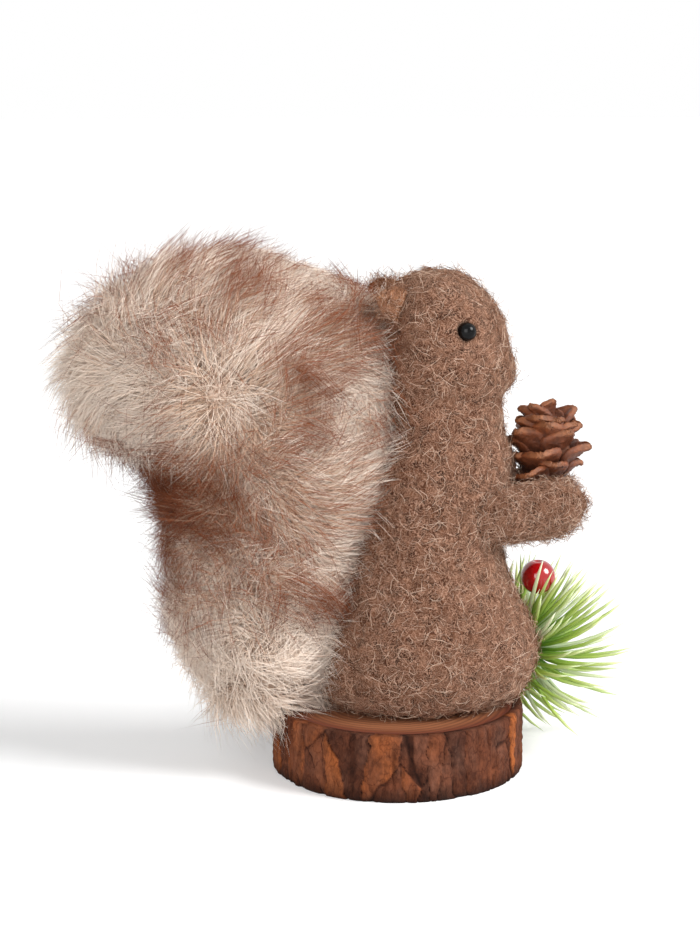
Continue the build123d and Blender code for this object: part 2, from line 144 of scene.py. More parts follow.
def rod_layout(points, sides):
    """One rod's faces: the vertex of each corner, its place round and along, corners per face."""
    corner, across, along, totals = [], [], [], []
    for j in reversed(range(sides)):
        corner.append(j)
        across.append(j / sides)
        along.append(END_MARGIN if j else 0.0)
    totals.append(sides)
    for k in range(points - 2):
        for j in range(sides):
            after = (j + 1) % sides
            corner += [k * sides + j, k * sides + after]
            corner += [(k + 1) * sides + after, (k + 1) * sides + j]
            across += [j / sides, (j + 1) / sides, (j + 1) / sides, j / sides]
            along += [k / (points - 1)] * 2 + [(k + 1) / (points - 1)] * 2
            totals.append(4)
    last, tip = (points - 2) * sides, (points - 1) * sides
    for j in range(sides):
        corner += [last + j, last + (j + 1) % sides, tip]
        across += [j / sides, (j + 1) / sides, (j + 0.5) / sides]
        along += [(points - 2) / (points - 1)] * 2 + [1.0]
        totals.append(3)
    return np.array(corner), np.array(across), np.array(along), np.array(totals)


print("faces of a three-sided rod with four points:", len(rod_layout(4, 3)[3]))

# %% [markdown]
# Numpy works out the rings of all the rods at once, which is far quicker than one rod at a time.
# The mesh is then filled from arrays.

# %% Strand mesh builder


def unit(v):
    """Vectors scaled to length one."""
    return v / (np.linalg.norm(v, axis=-1, keepdims=True) + 1e-12)


def strand_mesh(name, paths, radii, tones, sides, rng):
    """One mesh of closed tapering rods; paths is (rods, points, 3) and radii (rods, points)."""
    count, points, _ = paths.shape
    tangent = unit(np.gradient(paths, axis=1))
    wander = rng.normal(size=(count, 1, 3))
    side = unit(np.cross(tangent, np.broadcast_to(wander, tangent.shape)))
    over = np.cross(tangent, side)
    turn = np.arange(sides) * 2 * math.pi / sides
    ring = (
        side[:, :-1, None, :] * np.cos(turn)[None, None, :, None]
        + over[:, :-1, None, :] * np.sin(turn)[None, None, :, None]
    )
    ring = paths[:, :-1, None, :] + ring * radii[:, :-1, None, None]
    verts = np.concatenate([ring.reshape(count, -1, 3), paths[:, -1:, :]], axis=1)
    per_rod = verts.shape[1]

    corner, across, along, totals = rod_layout(points, sides)
    rods = np.arange(count)[:, None]
    vertex_index = corner[None, :] + rods * per_rod
    starts = np.concatenate([[0], np.cumsum(totals)[:-1]])
    loop_start = starts[None, :] + rods * len(corner)
    mesh = bpy.data.meshes.new(name)
    mesh.vertices.add(count * per_rod)
    mesh.vertices.foreach_set("co", verts.astype(np.float32).ravel())
    mesh.loops.add(vertex_index.size)
    mesh.loops.foreach_set("vertex_index", vertex_index.astype(np.int32).ravel())
    mesh.polygons.add(loop_start.size)
    mesh.polygons.foreach_set("loop_start", loop_start.astype(np.int32).ravel())
    mesh.polygons.foreach_set("loop_total", np.tile(totals, count).astype(np.int32))
    mesh.update(calc_edges=True)

    layer = mesh.uv_layers.new(name="OFBake")
    cell = np.clip(tones, 0, TONES - 1)[:, None]
    u = (cell + CELL_MARGIN + (1 - 2 * CELL_MARGIN) * across[None, :]) / TONES
    v = np.broadcast_to(END_MARGIN + (1 - 2 * END_MARGIN) * along[None, :], u.shape)
    layer.data.foreach_set("uv", np.stack([u, v], axis=2).astype(np.float32).ravel())
    piece = bpy.data.objects.new(name, mesh)
    bpy.context.collection.objects.link(piece)
    return piece


# %% [markdown]
# Hairs grow all over a skin, so their roots are scattered by area: a large triangle gets more
# of them than a small one. Geometry nodes could do it too, but here each root is also needed as a
# number, for its colour and direction. A soft wavy field gives slow changes from place to place.

# %% Scatter and waves

SINES = 5
# Brings the sum of the sines back to about -1 to 1
SINES_REACH = 2.6


def vertex_values(mesh, what):
    """The places ("co") or normals ("normal") of a mesh's vertices, one row each."""
    values = np.zeros(len(mesh.vertices) * 3, np.float32)
    mesh.vertices.foreach_get(what, values)
    return values.reshape(-1, 3).astype(float)


def scatter(piece, count, rng):
    """Random points on a piece, spread evenly by area, with the normals there."""
    mesh = piece.data
    mesh.calc_loop_triangles()
    corners = np.zeros(len(mesh.loop_triangles) * 3, np.int32)
    mesh.loop_triangles.foreach_get("vertices", corners)
    corners = corners.reshape(-1, 3)
    place = vertex_values(mesh, "co")
    normal = vertex_values(mesh, "normal")
    a, b, c = (place[corners[:, i]] for i in range(3))
    area = np.linalg.norm(np.cross(b - a, c - a), axis=1)
    pick = rng.choice(len(area), size=count, p=area / area.sum())
    share = rng.random((count, 2))
    flip = share.sum(axis=1) > 1
    share[flip] = 1 - share[flip]
    weight = np.stack([1 - share.sum(axis=1), share[:, 0], share[:, 1]], axis=1)
    spot = np.einsum("ni,nij->nj", weight, place[corners[pick]])
    way = np.einsum("ni,nij->nj", weight, normal[corners[pick]])
    return spot, unit(way)


def wave(p, scale, seed):
    """A smooth wavy field between about -1 and 1, made of a few slanted sines."""
    rng = np.random.default_rng(seed)
    total = np.zeros(len(p))
    for _ in range(SINES):
        slant = unit(rng.normal(size=3)) * scale * rng.uniform(0.6, 1.5)
        total += np.sin(p @ slant + rng.uniform(0, 6.28))
    return total / SINES_REACH


# %% [markdown]
# ## Materials
# Each material is built from nodes, which could be placed and linked by hand in the editor. A
# helper does it here, so a recipe reads as a list: where the pattern sits, what it looks like and
# which socket of the shader it drives. It grows in three steps, first the nodes and links.

# %% Material helper: nodes and links


def srgb(r, g, b):
    """A screen colour from 0 to 255 as the linear colour that nodes use."""
    parts = []
    for value in (r, g, b):
        value /= 255
        parts.append(value / 12.92 if value <= 0.04045 else ((value + 0.055) / 1.055) ** 2.4)
    return (*parts, 1.0)


def grey(value):
    """A plain grey, for a ramp that is used as a mask."""
    return (value, value, value, 1)


class NodeKit:
    """A material with its node tree and shader at hand."""

    def __init__(self, name, roughness):
        self.material = bpy.data.materials.new(name)
        self.material.use_nodes = True
        self.tree = self.material.node_tree
        self.shader = self.tree.nodes["Principled BSDF"]
        self.set("Roughness", roughness)

    def set(self, socket, value):
        """Set one of the shader's own sockets."""
        self.shader.inputs[socket].default_value = value

    def add(self, kind, **settings):
        """A new node; a setting is the name of a socket or of an option."""
        node = self.tree.nodes.new("ShaderNode" + kind)
        for key, value in settings.items():
            if key in node.inputs:
                node.inputs[key].default_value = value
            else:
                setattr(node, key, value)
        return node

    def link(self, source, target):
        self.tree.links.new(source, target)

    def place(self, scale=(1, 1, 1), location=(0, 0, 0)):
        """Object coordinates through a Mapping node."""
        mapping = self.add("Mapping", Scale=scale, Location=location)
        self.link(self.add("TexCoord").outputs["Object"], mapping.inputs["Vector"])
        return mapping.outputs["Vector"]

    def colour(self, output):
        self.link(output, self.shader.inputs["Base Color"])


# %% [markdown]
# The second step adds patterns. Cloudy noise serves for mottling and grain, a web of lines for
# flaking bark, and a wave with a strong distortion for matted wool.

# %% Material helper: patterns


class Patterns(NodeKit):
    """Patterns that a material can read by the place on the piece."""

    def noise(self, vector, scale, detail=4.0, rough=0.6):
        """Cloudy noise around 0.5; a larger scale is finer."""
        node = self.add("TexNoise", Scale=scale, Detail=detail, Roughness=rough)
        self.link(vector, node.inputs["Vector"])
        return node.outputs["Fac"]

    def web(self, vector, scale, stray):
        """Thin wandering lines: 0 on a line and rising away from it."""
        drift = self.add("TexNoise", Scale=scale * 0.8, Detail=3.0)
        self.link(vector, drift.inputs["Vector"])
        shift = self.add("VectorMath", operation="MULTIPLY_ADD")
        self.link(drift.outputs["Color"], shift.inputs[0])
        shift.inputs[1].default_value = (stray / scale,) * 3
        self.link(vector, shift.inputs[2])
        cells = self.add("TexVoronoi", feature="DISTANCE_TO_EDGE")
        cells.inputs["Scale"].default_value = scale
        self.link(shift.outputs["Vector"], cells.inputs["Vector"])
        return cells.outputs["Distance"]

    def curls(self, vector, scale, direction):
        """Curly parallel lines, 1 on a line, like combed and matted hair."""
        node = self.add("TexWave", bands_direction=direction, Scale=scale)
        node.inputs["Distortion"].default_value = 42.0
        node.inputs["Detail"].default_value = 4.0
        node.inputs["Detail Scale"].default_value = 0.7
        self.link(vector, node.inputs["Vector"])
        return node.outputs["Fac"]


# %% [markdown]
# The third step turns patterns into colours and relief. A ramp gives a pattern its colours, a mix
# puts one colour over another, and a bump makes small relief without more faces.

# %% Material helper: colours and relief


class Recipe(Patterns):
    """The whole helper: patterns turned into the colours and relief of a material."""

    def ramp(self, factor, stops):
        """Colours at some positions of a factor, blended between them."""
        node = self.add("ValToRGB")
        bar = node.color_ramp
        while len(bar.elements) < len(stops):
            bar.elements.new(0.5)
        for element, (position, colour) in zip(bar.elements, stops):
            element.position = position
            element.color = colour
        self.link(factor, node.inputs["Fac"])
        return node.outputs["Color"]

    def mix(self, factor, first, second, blend="MIX"):
        """Two colours mixed by a factor; each may be a value or a socket."""
        node = self.add("Mix", data_type="RGBA", blend_type=blend)
        if isinstance(factor, float):
            node.inputs["Factor"].default_value = factor
        else:
            self.link(factor, node.inputs["Factor"])
        for socket, value in ((node.inputs[6], first), (node.inputs[7], second)):
            if isinstance(value, tuple):
                socket.default_value = value
            else:
                self.link(value, socket)
        return node.outputs[2]

    def multiply(self, first, second):
        """One colour darkened or lit by another."""
        return self.mix(1.0, first, second, "MULTIPLY")

    def math(self, operation, first, second=0.0):
        """A sum on numbers or sockets."""
        node = self.add("Math", operation=operation)
        for socket, value in zip(node.inputs, (first, second)):
            if isinstance(value, (int, float)):
                socket.default_value = value
            else:
                self.link(value, socket)
        return node.outputs[0]

    def bump(self, height, strength, distance):
        """Small relief for the light, with no change of shape."""
        node = self.add("Bump", Strength=strength, Distance=distance)
        self.link(height, node.inputs["Height"])
        self.link(node.outputs["Normal"], self.shader.inputs["Normal"])


def strand_coordinates(recipe):
    """The shade number (U) and the way from root to tip (V) of a strand."""
    uv = recipe.add("UVMap", uv_map="OFBake")
    split = recipe.add("SeparateXYZ")
    recipe.link(uv.outputs["UV"], split.inputs["Vector"])
    return split.outputs["X"], split.outputs["Y"]


# %% [markdown]
# ## Wool felt
# The body is needle-felted wool: a matted brown ground with paler curly fibres on top. A material
# alone could draw both, but its outline would stay hard. So the material draws the ground and the
# flat curls on a lumpy skin, and the loose fibres are real strands that fuzz the outline.

# %% Wool materials

# Scales of the felt's patterns: a larger one is finer
FELT_MOTTLE = 420.0
FELT_GRAIN = 900.0
FAR_CURLS = 360.0
NEAR_CURLS = 470.0


def felt_finish(name, dark, middle, light, curl):
    """Matted wool: a mottled ground under two layers of thin pale curls."""
    felt = Recipe(name, 0.95)
    spot = felt.place()
    mottle = felt.noise(spot, FELT_MOTTLE, 5.0, 0.65)
    ground = felt.ramp(mottle, [(0.36, dark), (0.50, middle), (0.64, light)])
    far = felt.ramp(felt.curls(spot, FAR_CURLS, "Z"), [(0.78, grey(0)), (1.0, grey(0.85))])
    near = felt.ramp(felt.curls(spot, NEAR_CURLS, "Y"), [(0.80, grey(0)), (1.0, grey(0.8))])
    felt.colour(felt.mix(near, felt.mix(far, ground, curl), curl))
    felt.bump(felt.noise(spot, FELT_GRAIN, 6.0, 0.7), 0.9, 0.0006)
    felt.set("Sheen Weight", 0.6)
    felt.set("Sheen Roughness", 0.45)
    felt.set("Sheen Tint", srgb(226, 192, 166))
    felt.set("Specular IOR Level", 0.1)
    return felt.material


wool = felt_finish(
    "wool_felt", srgb(44, 22, 14), srgb(82, 48, 33), srgb(118, 80, 60), srgb(172, 134, 112)
)
ear_wool = felt_finish(
    "ear_felt", srgb(70, 36, 20), srgb(118, 70, 44), srgb(150, 100, 70), srgb(186, 138, 104)
)

fibre = Recipe("wool_fibre", 0.85)
tone, _ = strand_coordinates(fibre)
fibre.colour(
    fibre.ramp(
        tone,
        [
            (0.0, srgb(84, 48, 31)),
            (0.4, srgb(130, 90, 68)),
            (0.75, srgb(172, 132, 108)),
            (1.0, srgb(220, 192, 171)),
        ],
    )
)
fibre.set("Specular IOR Level", 0.1)
print("wool materials:", wool.name, ear_wool.name, fibre.material.name)

# %% [markdown]
# The body and head are felted together without a seam, so they are one skin here. Its lumps could
# be sculpted by hand. A displace modifier with a cloudy texture gives the slight lumps of hand
# felting all over in one step, after the skin is relaxed at the neck.

# %% Felt skins

LUMP_SIZE = 0.004


def felt_skin(targets, grain, lumps, relaxing, level):
    """A merged form with the soft lumps of felt; a higher level draws it in."""
    form = merged_form(targets, grain)
    relax(form, relaxing)
    cloud = bpy.data.textures.new("felt_lumps", "CLOUDS")
    cloud.noise_scale = LUMP_SIZE
    cloud.noise_depth = 3
    lump = form.modifiers.new("lumps", "DISPLACE")
    lump.texture = cloud
    lump.texture_coords = "LOCAL"
    lump.strength = lumps
    lump.mid_level = level
    apply_all(form)
    return form


trunk = ["body_felt", "head_felt"]
figure = felt_skin(trunk, grain=0.0009, lumps=0.0016, relaxing=16, level=0.6)
settle(figure, "felt_figure", wool, trunk)

arms = {}
ears = {}
for side in ("left", "right"):
    arm, ear = "arm_" + side, "ear_" + side
    arms[side] = felt_skin([arm], grain=0.0005, lumps=0.0012, relaxing=8, level=0.95)
    settle(arms[side], "felt_" + arm, wool, [arm])
    ears[side] = felt_skin([ear], grain=0.0003, lumps=0.0005, relaxing=4, level=1.2)
    settle(ears[side], "felt_" + ear, ear_wool, [ear])

# %% [markdown]
# The loose fibres lie on the felt in short curls. A path starts just under the skin, turns as it
# goes and lifts off a little, so it looks like crimped wool and not like a bristle.

# %% Curls of wool

FIBRE_POINTS = 4
FIBRE_REACH = 0.0046
FIBRE_ROOT = 0.0002


def curl_paths(spots, ways, rng, stand):
    """Curly paths that lie on a surface and lift off it a little."""
    count = len(spots)
    across = unit(np.cross(ways, rng.normal(size=(count, 3))))
    over = np.cross(ways, across)
    heading = rng.uniform(0, 2 * math.pi, count)
    bend = rng.normal(0, 2.2, count)
    size = FIBRE_REACH * rng.uniform(0.5, 1.3, count)
    lift = stand * np.minimum(rng.exponential(1.0, count), 2.2)
    step = (size / (FIBRE_POINTS - 1))[:, None]
    paths = np.zeros((count, FIBRE_POINTS, 3))
    here = spots - ways * FIBRE_ROOT
    for k in range(FIBRE_POINTS):
        t = k / (FIBRE_POINTS - 1)
        paths[:, k] = here + ways * (lift * math.sin(t * 2.2))[:, None]
        angle = (heading + bend * t)[:, None]
        here = here + (across * np.cos(angle) + over * np.sin(angle)) * step
    return paths


# %% [markdown]
# Most of the fibres hug the surface, and a fine sheet of them stands off it and fuzzes the outline.
# That sheet is paler than the hugging fibres, partly as painted sheen for the bright rim that loose
# fuzz shows at the outline. None starts close to an eye, because a hair across the bead would catch
# the gaze.

# %% Wool fibres

FIBRE_TAPER = np.array([0.8, 1.0, 0.9, 0.0])
EYE_CLEARANCE = 0.0062
EYES = [
    np.mean([nodes[name].matrix_world @ Vector(corner) for corner in nodes[name].bound_box], axis=0)
    for name in ("eye_left", "eye_right")
]


def wool_fibres(name, bases, count, seed, sheet):
    """A mesh of curly fibres over some felt skins; a sheet is paleness, lift and thickness."""
    paleness, stand, thickness = sheet
    rng = np.random.default_rng(seed)
    paths = []
    for base in bases:
        spots, ways = scatter(base, count, rng)
        clear = np.ones(count, bool)
        for eye in EYES:
            clear &= np.linalg.norm(spots - eye, axis=1) > EYE_CLEARANCE
        paths.append(curl_paths(spots[clear], ways[clear], rng, stand))
    paths = np.concatenate(paths)
    radii = rng.uniform(0.7, 1.4, (len(paths), 1)) * (FIBRE_TAPER * thickness)[None, :]
    tones = np.clip(rng.normal(paleness, 10, len(paths)), 0, TONES - 1).astype(int)
    piece = strand_mesh(name, paths, radii, tones, 3, rng)
    settle(piece, name, fibre.material, [])


# Paleness, lift and thickness
HUGGING = (16, 0.0003, 0.000054)
# Painted sheen: the standing sheets on the body and arms are paler than the hugging fibres, for the
# bright rim of loose fuzz
STANDING_FUZZ_PAINTED_SHEEN = (26, 0.0010, 0.000042)
ARM_FUZZ_PAINTED_SHEEN = (21, 0.0005, 0.000050)
EAR_FUZZ = (17, 0.0004, 0.000050)
for number, sheet in enumerate([HUGGING, HUGGING, HUGGING, STANDING_FUZZ_PAINTED_SHEEN]):
    wool_fibres(f"felt_fibres_{number + 1}", [figure], 9000, 11 + number, sheet)
wool_fibres("arm_fibres", arms.values(), 2600, 15, ARM_FUZZ_PAINTED_SHEEN)
wool_fibres("ear_fibres", ears.values(), 600, 16, EAR_FUZZ)

# %% [markdown]
# ## Fur tail
# The tail is long-pile faux fur, cream with brown tips, that parts from the middle and sweeps
# to the outline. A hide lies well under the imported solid, and tens of thousands of strands grow
# from it. One material colours them all by their shade number: the first shades are cream, the
# next are brown at the tip, and the last are brown all along.

# %% Fur materials

FIRST_TIPPED = 16
FIRST_BROWN = 26

hide = Recipe("fur_hide", 0.95)
mottle = hide.noise(hide.place(), 120.0, 4.0)
hide.colour(hide.ramp(mottle, [(0.3, srgb(204, 178, 158)), (0.7, srgb(230, 209, 193))]))

pile = Recipe("fur_pile", 0.7)
tone, length = strand_coordinates(pile)
cream = pile.ramp(
    length,
    [(0.0, srgb(220, 192, 170)), (0.35, srgb(242, 221, 203)), (1.0, srgb(248, 235, 223))],
)
tipped = pile.ramp(
    length,
    [
        (0.0, srgb(212, 182, 158)),
        (0.50, srgb(224, 194, 170)),
        (0.66, srgb(152, 90, 58)),
        (0.85, srgb(112, 57, 31)),
        (1.0, srgb(88, 42, 22)),
    ],
)
brown = pile.ramp(
    length,
    [(0.0, srgb(168, 112, 80)), (0.4, srgb(140, 80, 50)), (1.0, srgb(86, 39, 19))],
)
is_tipped = pile.math("GREATER_THAN", tone, FIRST_TIPPED / TONES)
is_brown = pile.math("GREATER_THAN", tone, FIRST_BROWN / TONES)
strand_colour = pile.mix(is_brown, pile.mix(is_tipped, cream, tipped), brown)

# The fraction of a multiple of the shade number spreads slight shades over the strands
shade_number = pile.math("FLOOR", pile.math("MULTIPLY", tone, TONES))
band = pile.math("FRACT", pile.math("MULTIPLY", shade_number, 0.377))
shade = pile.ramp(band, [(0.0, (0.92, 0.91, 0.90, 1)), (1.0, grey(1.05))])
pile.colour(pile.multiply(strand_colour, shade))
pile.set("Specular IOR Level", 0.2)
print("fur materials:", hide.material.name, pile.material.name)

# %% [markdown]
# ## Tail hide
# On the real tail the pile is woven into a hide that is sewn up and stuffed. A cloth simulation
# could fill such a hide, but its folds would be hidden under the pile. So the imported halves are
# merged, relaxed and drawn in by the depth of the pile, which leaves room for the strands.

# %% Tail hide

PILE_DEPTH = 0.0045
HIDE_RELAXING = 12

tail_halves = ["tail_fur_left", "tail_fur_right"]
hide_form = merged_form(tail_halves, 0.0012)
relax(hide_form, HIDE_RELAXING)
shrink = hide_form.modifiers.new("under_the_pile", "DISPLACE")
shrink.strength = -PILE_DEPTH
shrink.mid_level = 0.0
relax(hide_form, HIDE_RELAXING)
apply_all(hide_form)
settle(hide_form, "tail_hide", hide.material, tail_halves)

# %% [markdown]
# Fur lies the way it is combed. It could be combed by hand with Blender's hair brushes. Here a
# direction field does it, which gives the same pile on each run: it leads away from the tail's
# middle line toward the outline, and along that line toward the curl.

# %% Flow of the pile

# Middle line of the tail in the side view, from the low end up and over to the curl: (y, z)
TAIL_LINE = np.array(
    [(0.035, 0.024), (0.037, 0.045), (0.036, 0.066), (0.042, 0.085), (0.052, 0.097), (0.062, 0.097)]
)
# How far the pile is combed along each stretch of that line
TAIL_SWEEP = (0.0, 0.0, 0.2, 0.4, 0.6)


def nearest_on_line(y, z):
    """For points in the side view: the nearest point of the middle line, the sweep, the gap."""
    best = np.full(len(y), np.inf)
    found = np.zeros((len(y), 2))
    sweep = np.zeros((len(y), 2))
    for a, b, comb in zip(TAIL_LINE[:-1], TAIL_LINE[1:], TAIL_SWEEP):
        run = b - a
        share = ((y - a[0]) * run[0] + (z - a[1]) * run[1]) / (run @ run)
        share = np.clip(share, 0, 1)
        spot = a[None, :] + share[:, None] * run[None, :]
        gap = np.hypot(y - spot[:, 0], z - spot[:, 1])
        closer = gap < best
        best[closer] = gap[closer]
        found[closer] = spot[closer]
        sweep[closer] = comb * run / np.linalg.norm(run)
    return found, sweep, best


line_length = np.linalg.norm(np.diff(TAIL_LINE, axis=0), axis=1).sum()
print("middle line of the tail, mm:", round(1000 * line_length, 1))

# %% [markdown]
# The brown tips gather in the crease behind the curl and thin out at the pale low end. The pile is
# also longer in some places than in others. A painted map could hold this, but a few soft spots
# in the side view are enough, each with a place, a spread and a change.

# %% Colour and length by place

# Each list below: (y, z, spread in y, spread in z), change at the middle of the spot
TIPPED_CHANGES = [
    ((0.050, 0.069, 0.013, 0.010), 0.66),
    ((0.025, 0.042, 0.012, 0.006), 0.25),
    ((0.046, 0.092, 0.009, 0.010), 0.24),
    ((0.045, 0.105, 0.020, 0.010), 0.08),
    ((0.037, 0.024, 0.018, 0.015), -0.46),
    ((0.068, 0.092, 0.013, 0.014), -0.28),
]
BROWN_CHANGES = [
    ((0.050, 0.069, 0.012, 0.009), 0.70),
    ((0.037, 0.024, 0.018, 0.015), -0.04),
    ((0.025, 0.042, 0.010, 0.005), 0.30),
]
LENGTH_CHANGES = [
    ((0.048, 0.026, 0.012, 0.012), 0.20),
    ((0.036, 0.014, 0.018, 0.006), -0.35),
    ((0.034, 0.122, 0.020, 0.008), -0.28),
    ((0.066, 0.108, 0.014, 0.012), 0.35),
    ((0.014, 0.114, 0.020, 0.010), -0.40),
    ((0.056, 0.074, 0.012, 0.008), -0.30),
    ((0.052, 0.045, 0.008, 0.016), -0.20),
]


def hump(p, at_y, at_z, wide_y, wide_z):
    """A soft spot in the side view, 1 at its middle."""
    return np.exp(-(((p[:, 1] - at_y) / wide_y) ** 2) - ((p[:, 2] - at_z) / wide_z) ** 2)


def changed(share, p, changes):
    """A share at each point, raised or lowered round the places of a list."""
    for place, change in changes:
        share = share + change * hump(p, *place)
    return share


def at_outline(ways):
    """Near 1 where the skin is seen edge-on from the side, and 0 where it faces the viewer."""
    return (1 - ways[:, 0] ** 2) ** 2


def tipped_share(p, ways):
    """How much of the pile has brown tips at each point, more at the outline."""
    share = 0.30 + 0.18 * wave(p, 190.0, 5) + 0.10 * at_outline(ways)
    return np.clip(changed(share, p, TIPPED_CHANGES), 0.02, 0.95)


def brown_share(p):
    """How much of the pile is brown all along its length."""
    return changed(0.03, p, BROWN_CHANGES)


print("soft spots:", len(TIPPED_CHANGES + BROWN_CHANGES + LENGTH_CHANGES))

# %% [markdown]
# A strand leaves its root, rises from the skin and bends over along the flow. The flow is made
# wavy, and each strand strays a little from it, so that the pile looks combed by hand.

# %% Paths of the strands

STRAND_POINTS = 4
STRAND_LENGTH = 0.0168
STRAND_DROOP = 0.0012
# Distance from the middle line at which the flow has its full strength
FLOW_REACH = 0.012
BROAD_WAVES = 170.0
FINE_WAVES = 430.0


def pile_flow(spots, rng, stray):
    """Direction of the pile at some roots, the way off the middle line, and the strength there."""
    middle, sweep, gap = nearest_on_line(spots[:, 1], spots[:, 2])
    away = np.zeros_like(spots)
    away[:, 1] = spots[:, 1] - middle[:, 0]
    away[:, 2] = spots[:, 2] - middle[:, 1]
    away = unit(away)
    strength = np.clip(gap / FLOW_REACH, 0, 1)[:, None]
    flow = away * strength
    flow[:, 1:] += sweep * (1.1 - strength)
    tousle = 0.30 + 0.30 * (1 - strength[:, 0])
    flow[:, 1] += tousle * (wave(spots, BROAD_WAVES, 21) + wave(spots, FINE_WAVES, 24)) + 0.10
    flow[:, 2] += tousle * (wave(spots, BROAD_WAVES, 22) + wave(spots, FINE_WAVES, 25)) - 0.05
    flow[:, 0] += 0.20 * wave(spots, BROAD_WAVES, 23)
    flow += rng.normal(0, stray, flow.shape) * (2.0 - strength)
    return flow, away, strength[:, 0]


def fur_paths(spots, ways, rng, stray):
    """Paths of fur strands from their roots along the flow of the pile, each with its own stray."""
    flow, away, strength = pile_flow(spots, rng, stray)
    outward = np.clip(np.sum(away * ways, axis=1), 0, 1)
    drift = flow - ways * np.sum(flow * ways, axis=1, keepdims=True)
    lean = np.clip(np.linalg.norm(drift, axis=1, keepdims=True), 0.6, 0.95)
    drift = unit(drift)
    size = STRAND_LENGTH * rng.uniform(0.75, 1.2, len(spots))
    for place, change in LENGTH_CHANGES:
        size *= 1 + change * hump(spots, *place)
    lift = 0.36 + 0.28 * outward**2 + 0.08 * (1 - strength)
    paths = np.zeros((len(spots), STRAND_POINTS, 3))
    for k in range(STRAND_POINTS):
        t = k / (STRAND_POINTS - 1)
        rise = (lift * (t - 0.35 * t * t))[:, None]
        slide = lean * (0.35 * t + 0.65 * t * t)
        paths[:, k] = spots + (ways * rise + drift * slide) * size[:, None]
        paths[:, k, 2] -= STRAND_DROOP * t * t
    return paths


# %% [markdown]
# Single hairs alone look like a brush, so the strands are gathered in wisps, as in real fur. A
# tree of points finds the nearest wisp quickly for each root. Strands that would reach too far
# back or into the table are shortened, as a maker trims them.

# %% Wisps and limits

# The pile ends here behind the curl, and stays above the table
PILE_BACK = 0.0850
PILE_FOOT = 0.0008


def nearest_centre(spots, centres):
    """The number of the wisp centre that is nearest to each root."""
    tree = kdtree.KDTree(len(centres))
    for index, centre in enumerate(centres):
        tree.insert(centre, index)
    tree.balance()
    return np.array([tree.find(spot)[1] for spot in spots])


def within_limits(spots, paths, guard):
    """The length factors of the strands, smaller for those that would reach too far."""
    tips = (paths[:, -1] - spots) * guard[:, None]
    too_far = spots[:, 1] + tips[:, 1] > PILE_BACK
    guard[too_far] *= (PILE_BACK - spots[too_far, 1]) / tips[too_far, 1]
    too_low = spots[:, 2] + tips[:, 2] < PILE_FOOT
    guard[too_low] *= (PILE_FOOT - spots[too_low, 2]) / tips[too_low, 2]
    return guard[:, None, None]


# %% [markdown]
# Each strand goes part of the way to the lead strand of its wisp. The brown-tipped guard hairs
# are longer and finer than the cream under-fur. The pile is made in several pieces, because a
# single mesh of all the strands would be too heavy.

# %% Fur pieces

PILE_PIECES = 6
STRANDS_PER_PIECE = 10000
STRANDS_PER_WISP = 15
STRAND_STRAY = 0.22
WISP_STRAY = 0.60
WISP_SWERVE = 0.0028
STRAND_TAPER = np.array([1.0, 1.0, 0.7, 0.0]) * 0.00010


def fur_piece(name, count, seed):
    """One mesh of fur strands, gathered in wisps, with longer brown-tipped guard hairs."""
    rng = np.random.default_rng(seed)
    spots, ways = scatter(hide_form, count, rng)
    centres, centre_ways = scatter(hide_form, count // STRANDS_PER_WISP, rng)
    own = fur_paths(spots, ways, rng, STRAND_STRAY)
    lead = fur_paths(centres, centre_ways, rng, WISP_STRAY)
    group = nearest_centre(spots, centres)

    dice = 0.5 * rng.random(count) + 0.5 * rng.random(len(centres))[group]
    tones = rng.integers(0, FIRST_TIPPED, count)
    is_tip = dice < tipped_share(spots, ways)
    tones[is_tip] = rng.integers(FIRST_TIPPED, FIRST_BROWN, is_tip.sum())
    is_dark = dice < brown_share(spots)
    tones[is_dark] = rng.integers(FIRST_BROWN, TONES, is_dark.sum())
    is_guard = is_tip | is_dark
    pale_length = rng.uniform(0.6, 0.95, count) + 0.15 * at_outline(ways)
    guard = np.where(is_guard, rng.uniform(1.0, 1.5, count), pale_length)

    pull = rng.uniform(0.45, 0.90, len(centres))[group] * np.where(is_guard, 1.0, 0.8)
    swerve = rng.normal(0, WISP_SWERVE, len(centres))[group]
    sideways = unit(np.cross(ways, own[:, -1] - own[:, 0]))
    paths = own.copy()
    for k in range(STRAND_POINTS):
        t = k / (STRAND_POINTS - 1)
        share = (pull * t**1.3)[:, None]
        gathered = lead[group, k] + 0.25 * (spots - centres[group])
        paths[:, k] = own[:, k] * (1 - share) + gathered * share
        paths[:, k] += (swerve * t * t)[:, None] * sideways
    roots = spots[:, None, :]
    paths = roots + (paths - roots) * within_limits(spots, paths, guard)
    thickness = np.where(tones < FIRST_TIPPED, 0.90, 0.62)[:, None]
    radii = thickness * rng.uniform(0.75, 1.2, (count, 1)) * STRAND_TAPER[None, :]
    piece = strand_mesh(name, paths, radii, tones, 3, rng)
    settle(piece, name, pile.material, [])


for number in range(PILE_PIECES):
    fur_piece(f"tail_pile_{number + 1}", STRANDS_PER_PIECE, 31 + number)

# %% [markdown]
# ## Wood slice and bark
# The slice shows growth rings on its sawn face, which the imported disc can carry as a material. A
# wave texture could draw rings too. A sine of the distance from the pith leaves the wobble and the
# off-centre pith under control, with paler sapwood outside and a dark line at the bark. The darker
# wood inside the pale band is partly painted shade, for the shadow that the body casts on the sawn
# face.

# %% Sawn wood

RING_WAVES = 4200.0
PITH_SHIFT = (0.004, -0.003, 0)

sawn = Recipe("sawn_wood", 0.7)
spot = sawn.place((1, 1, 0.05), PITH_SHIFT)
ripple = sawn.noise(spot, 60.0, 3.0)
from_pith = sawn.add("VectorMath", operation="LENGTH")
sawn.link(spot, from_pith.inputs[0])
turns = sawn.math("MULTIPLY", from_pith.outputs["Value"], RING_WAVES)
ring = sawn.math("SINE", sawn.math("ADD", turns, sawn.math("MULTIPLY", ripple, 5.0)))
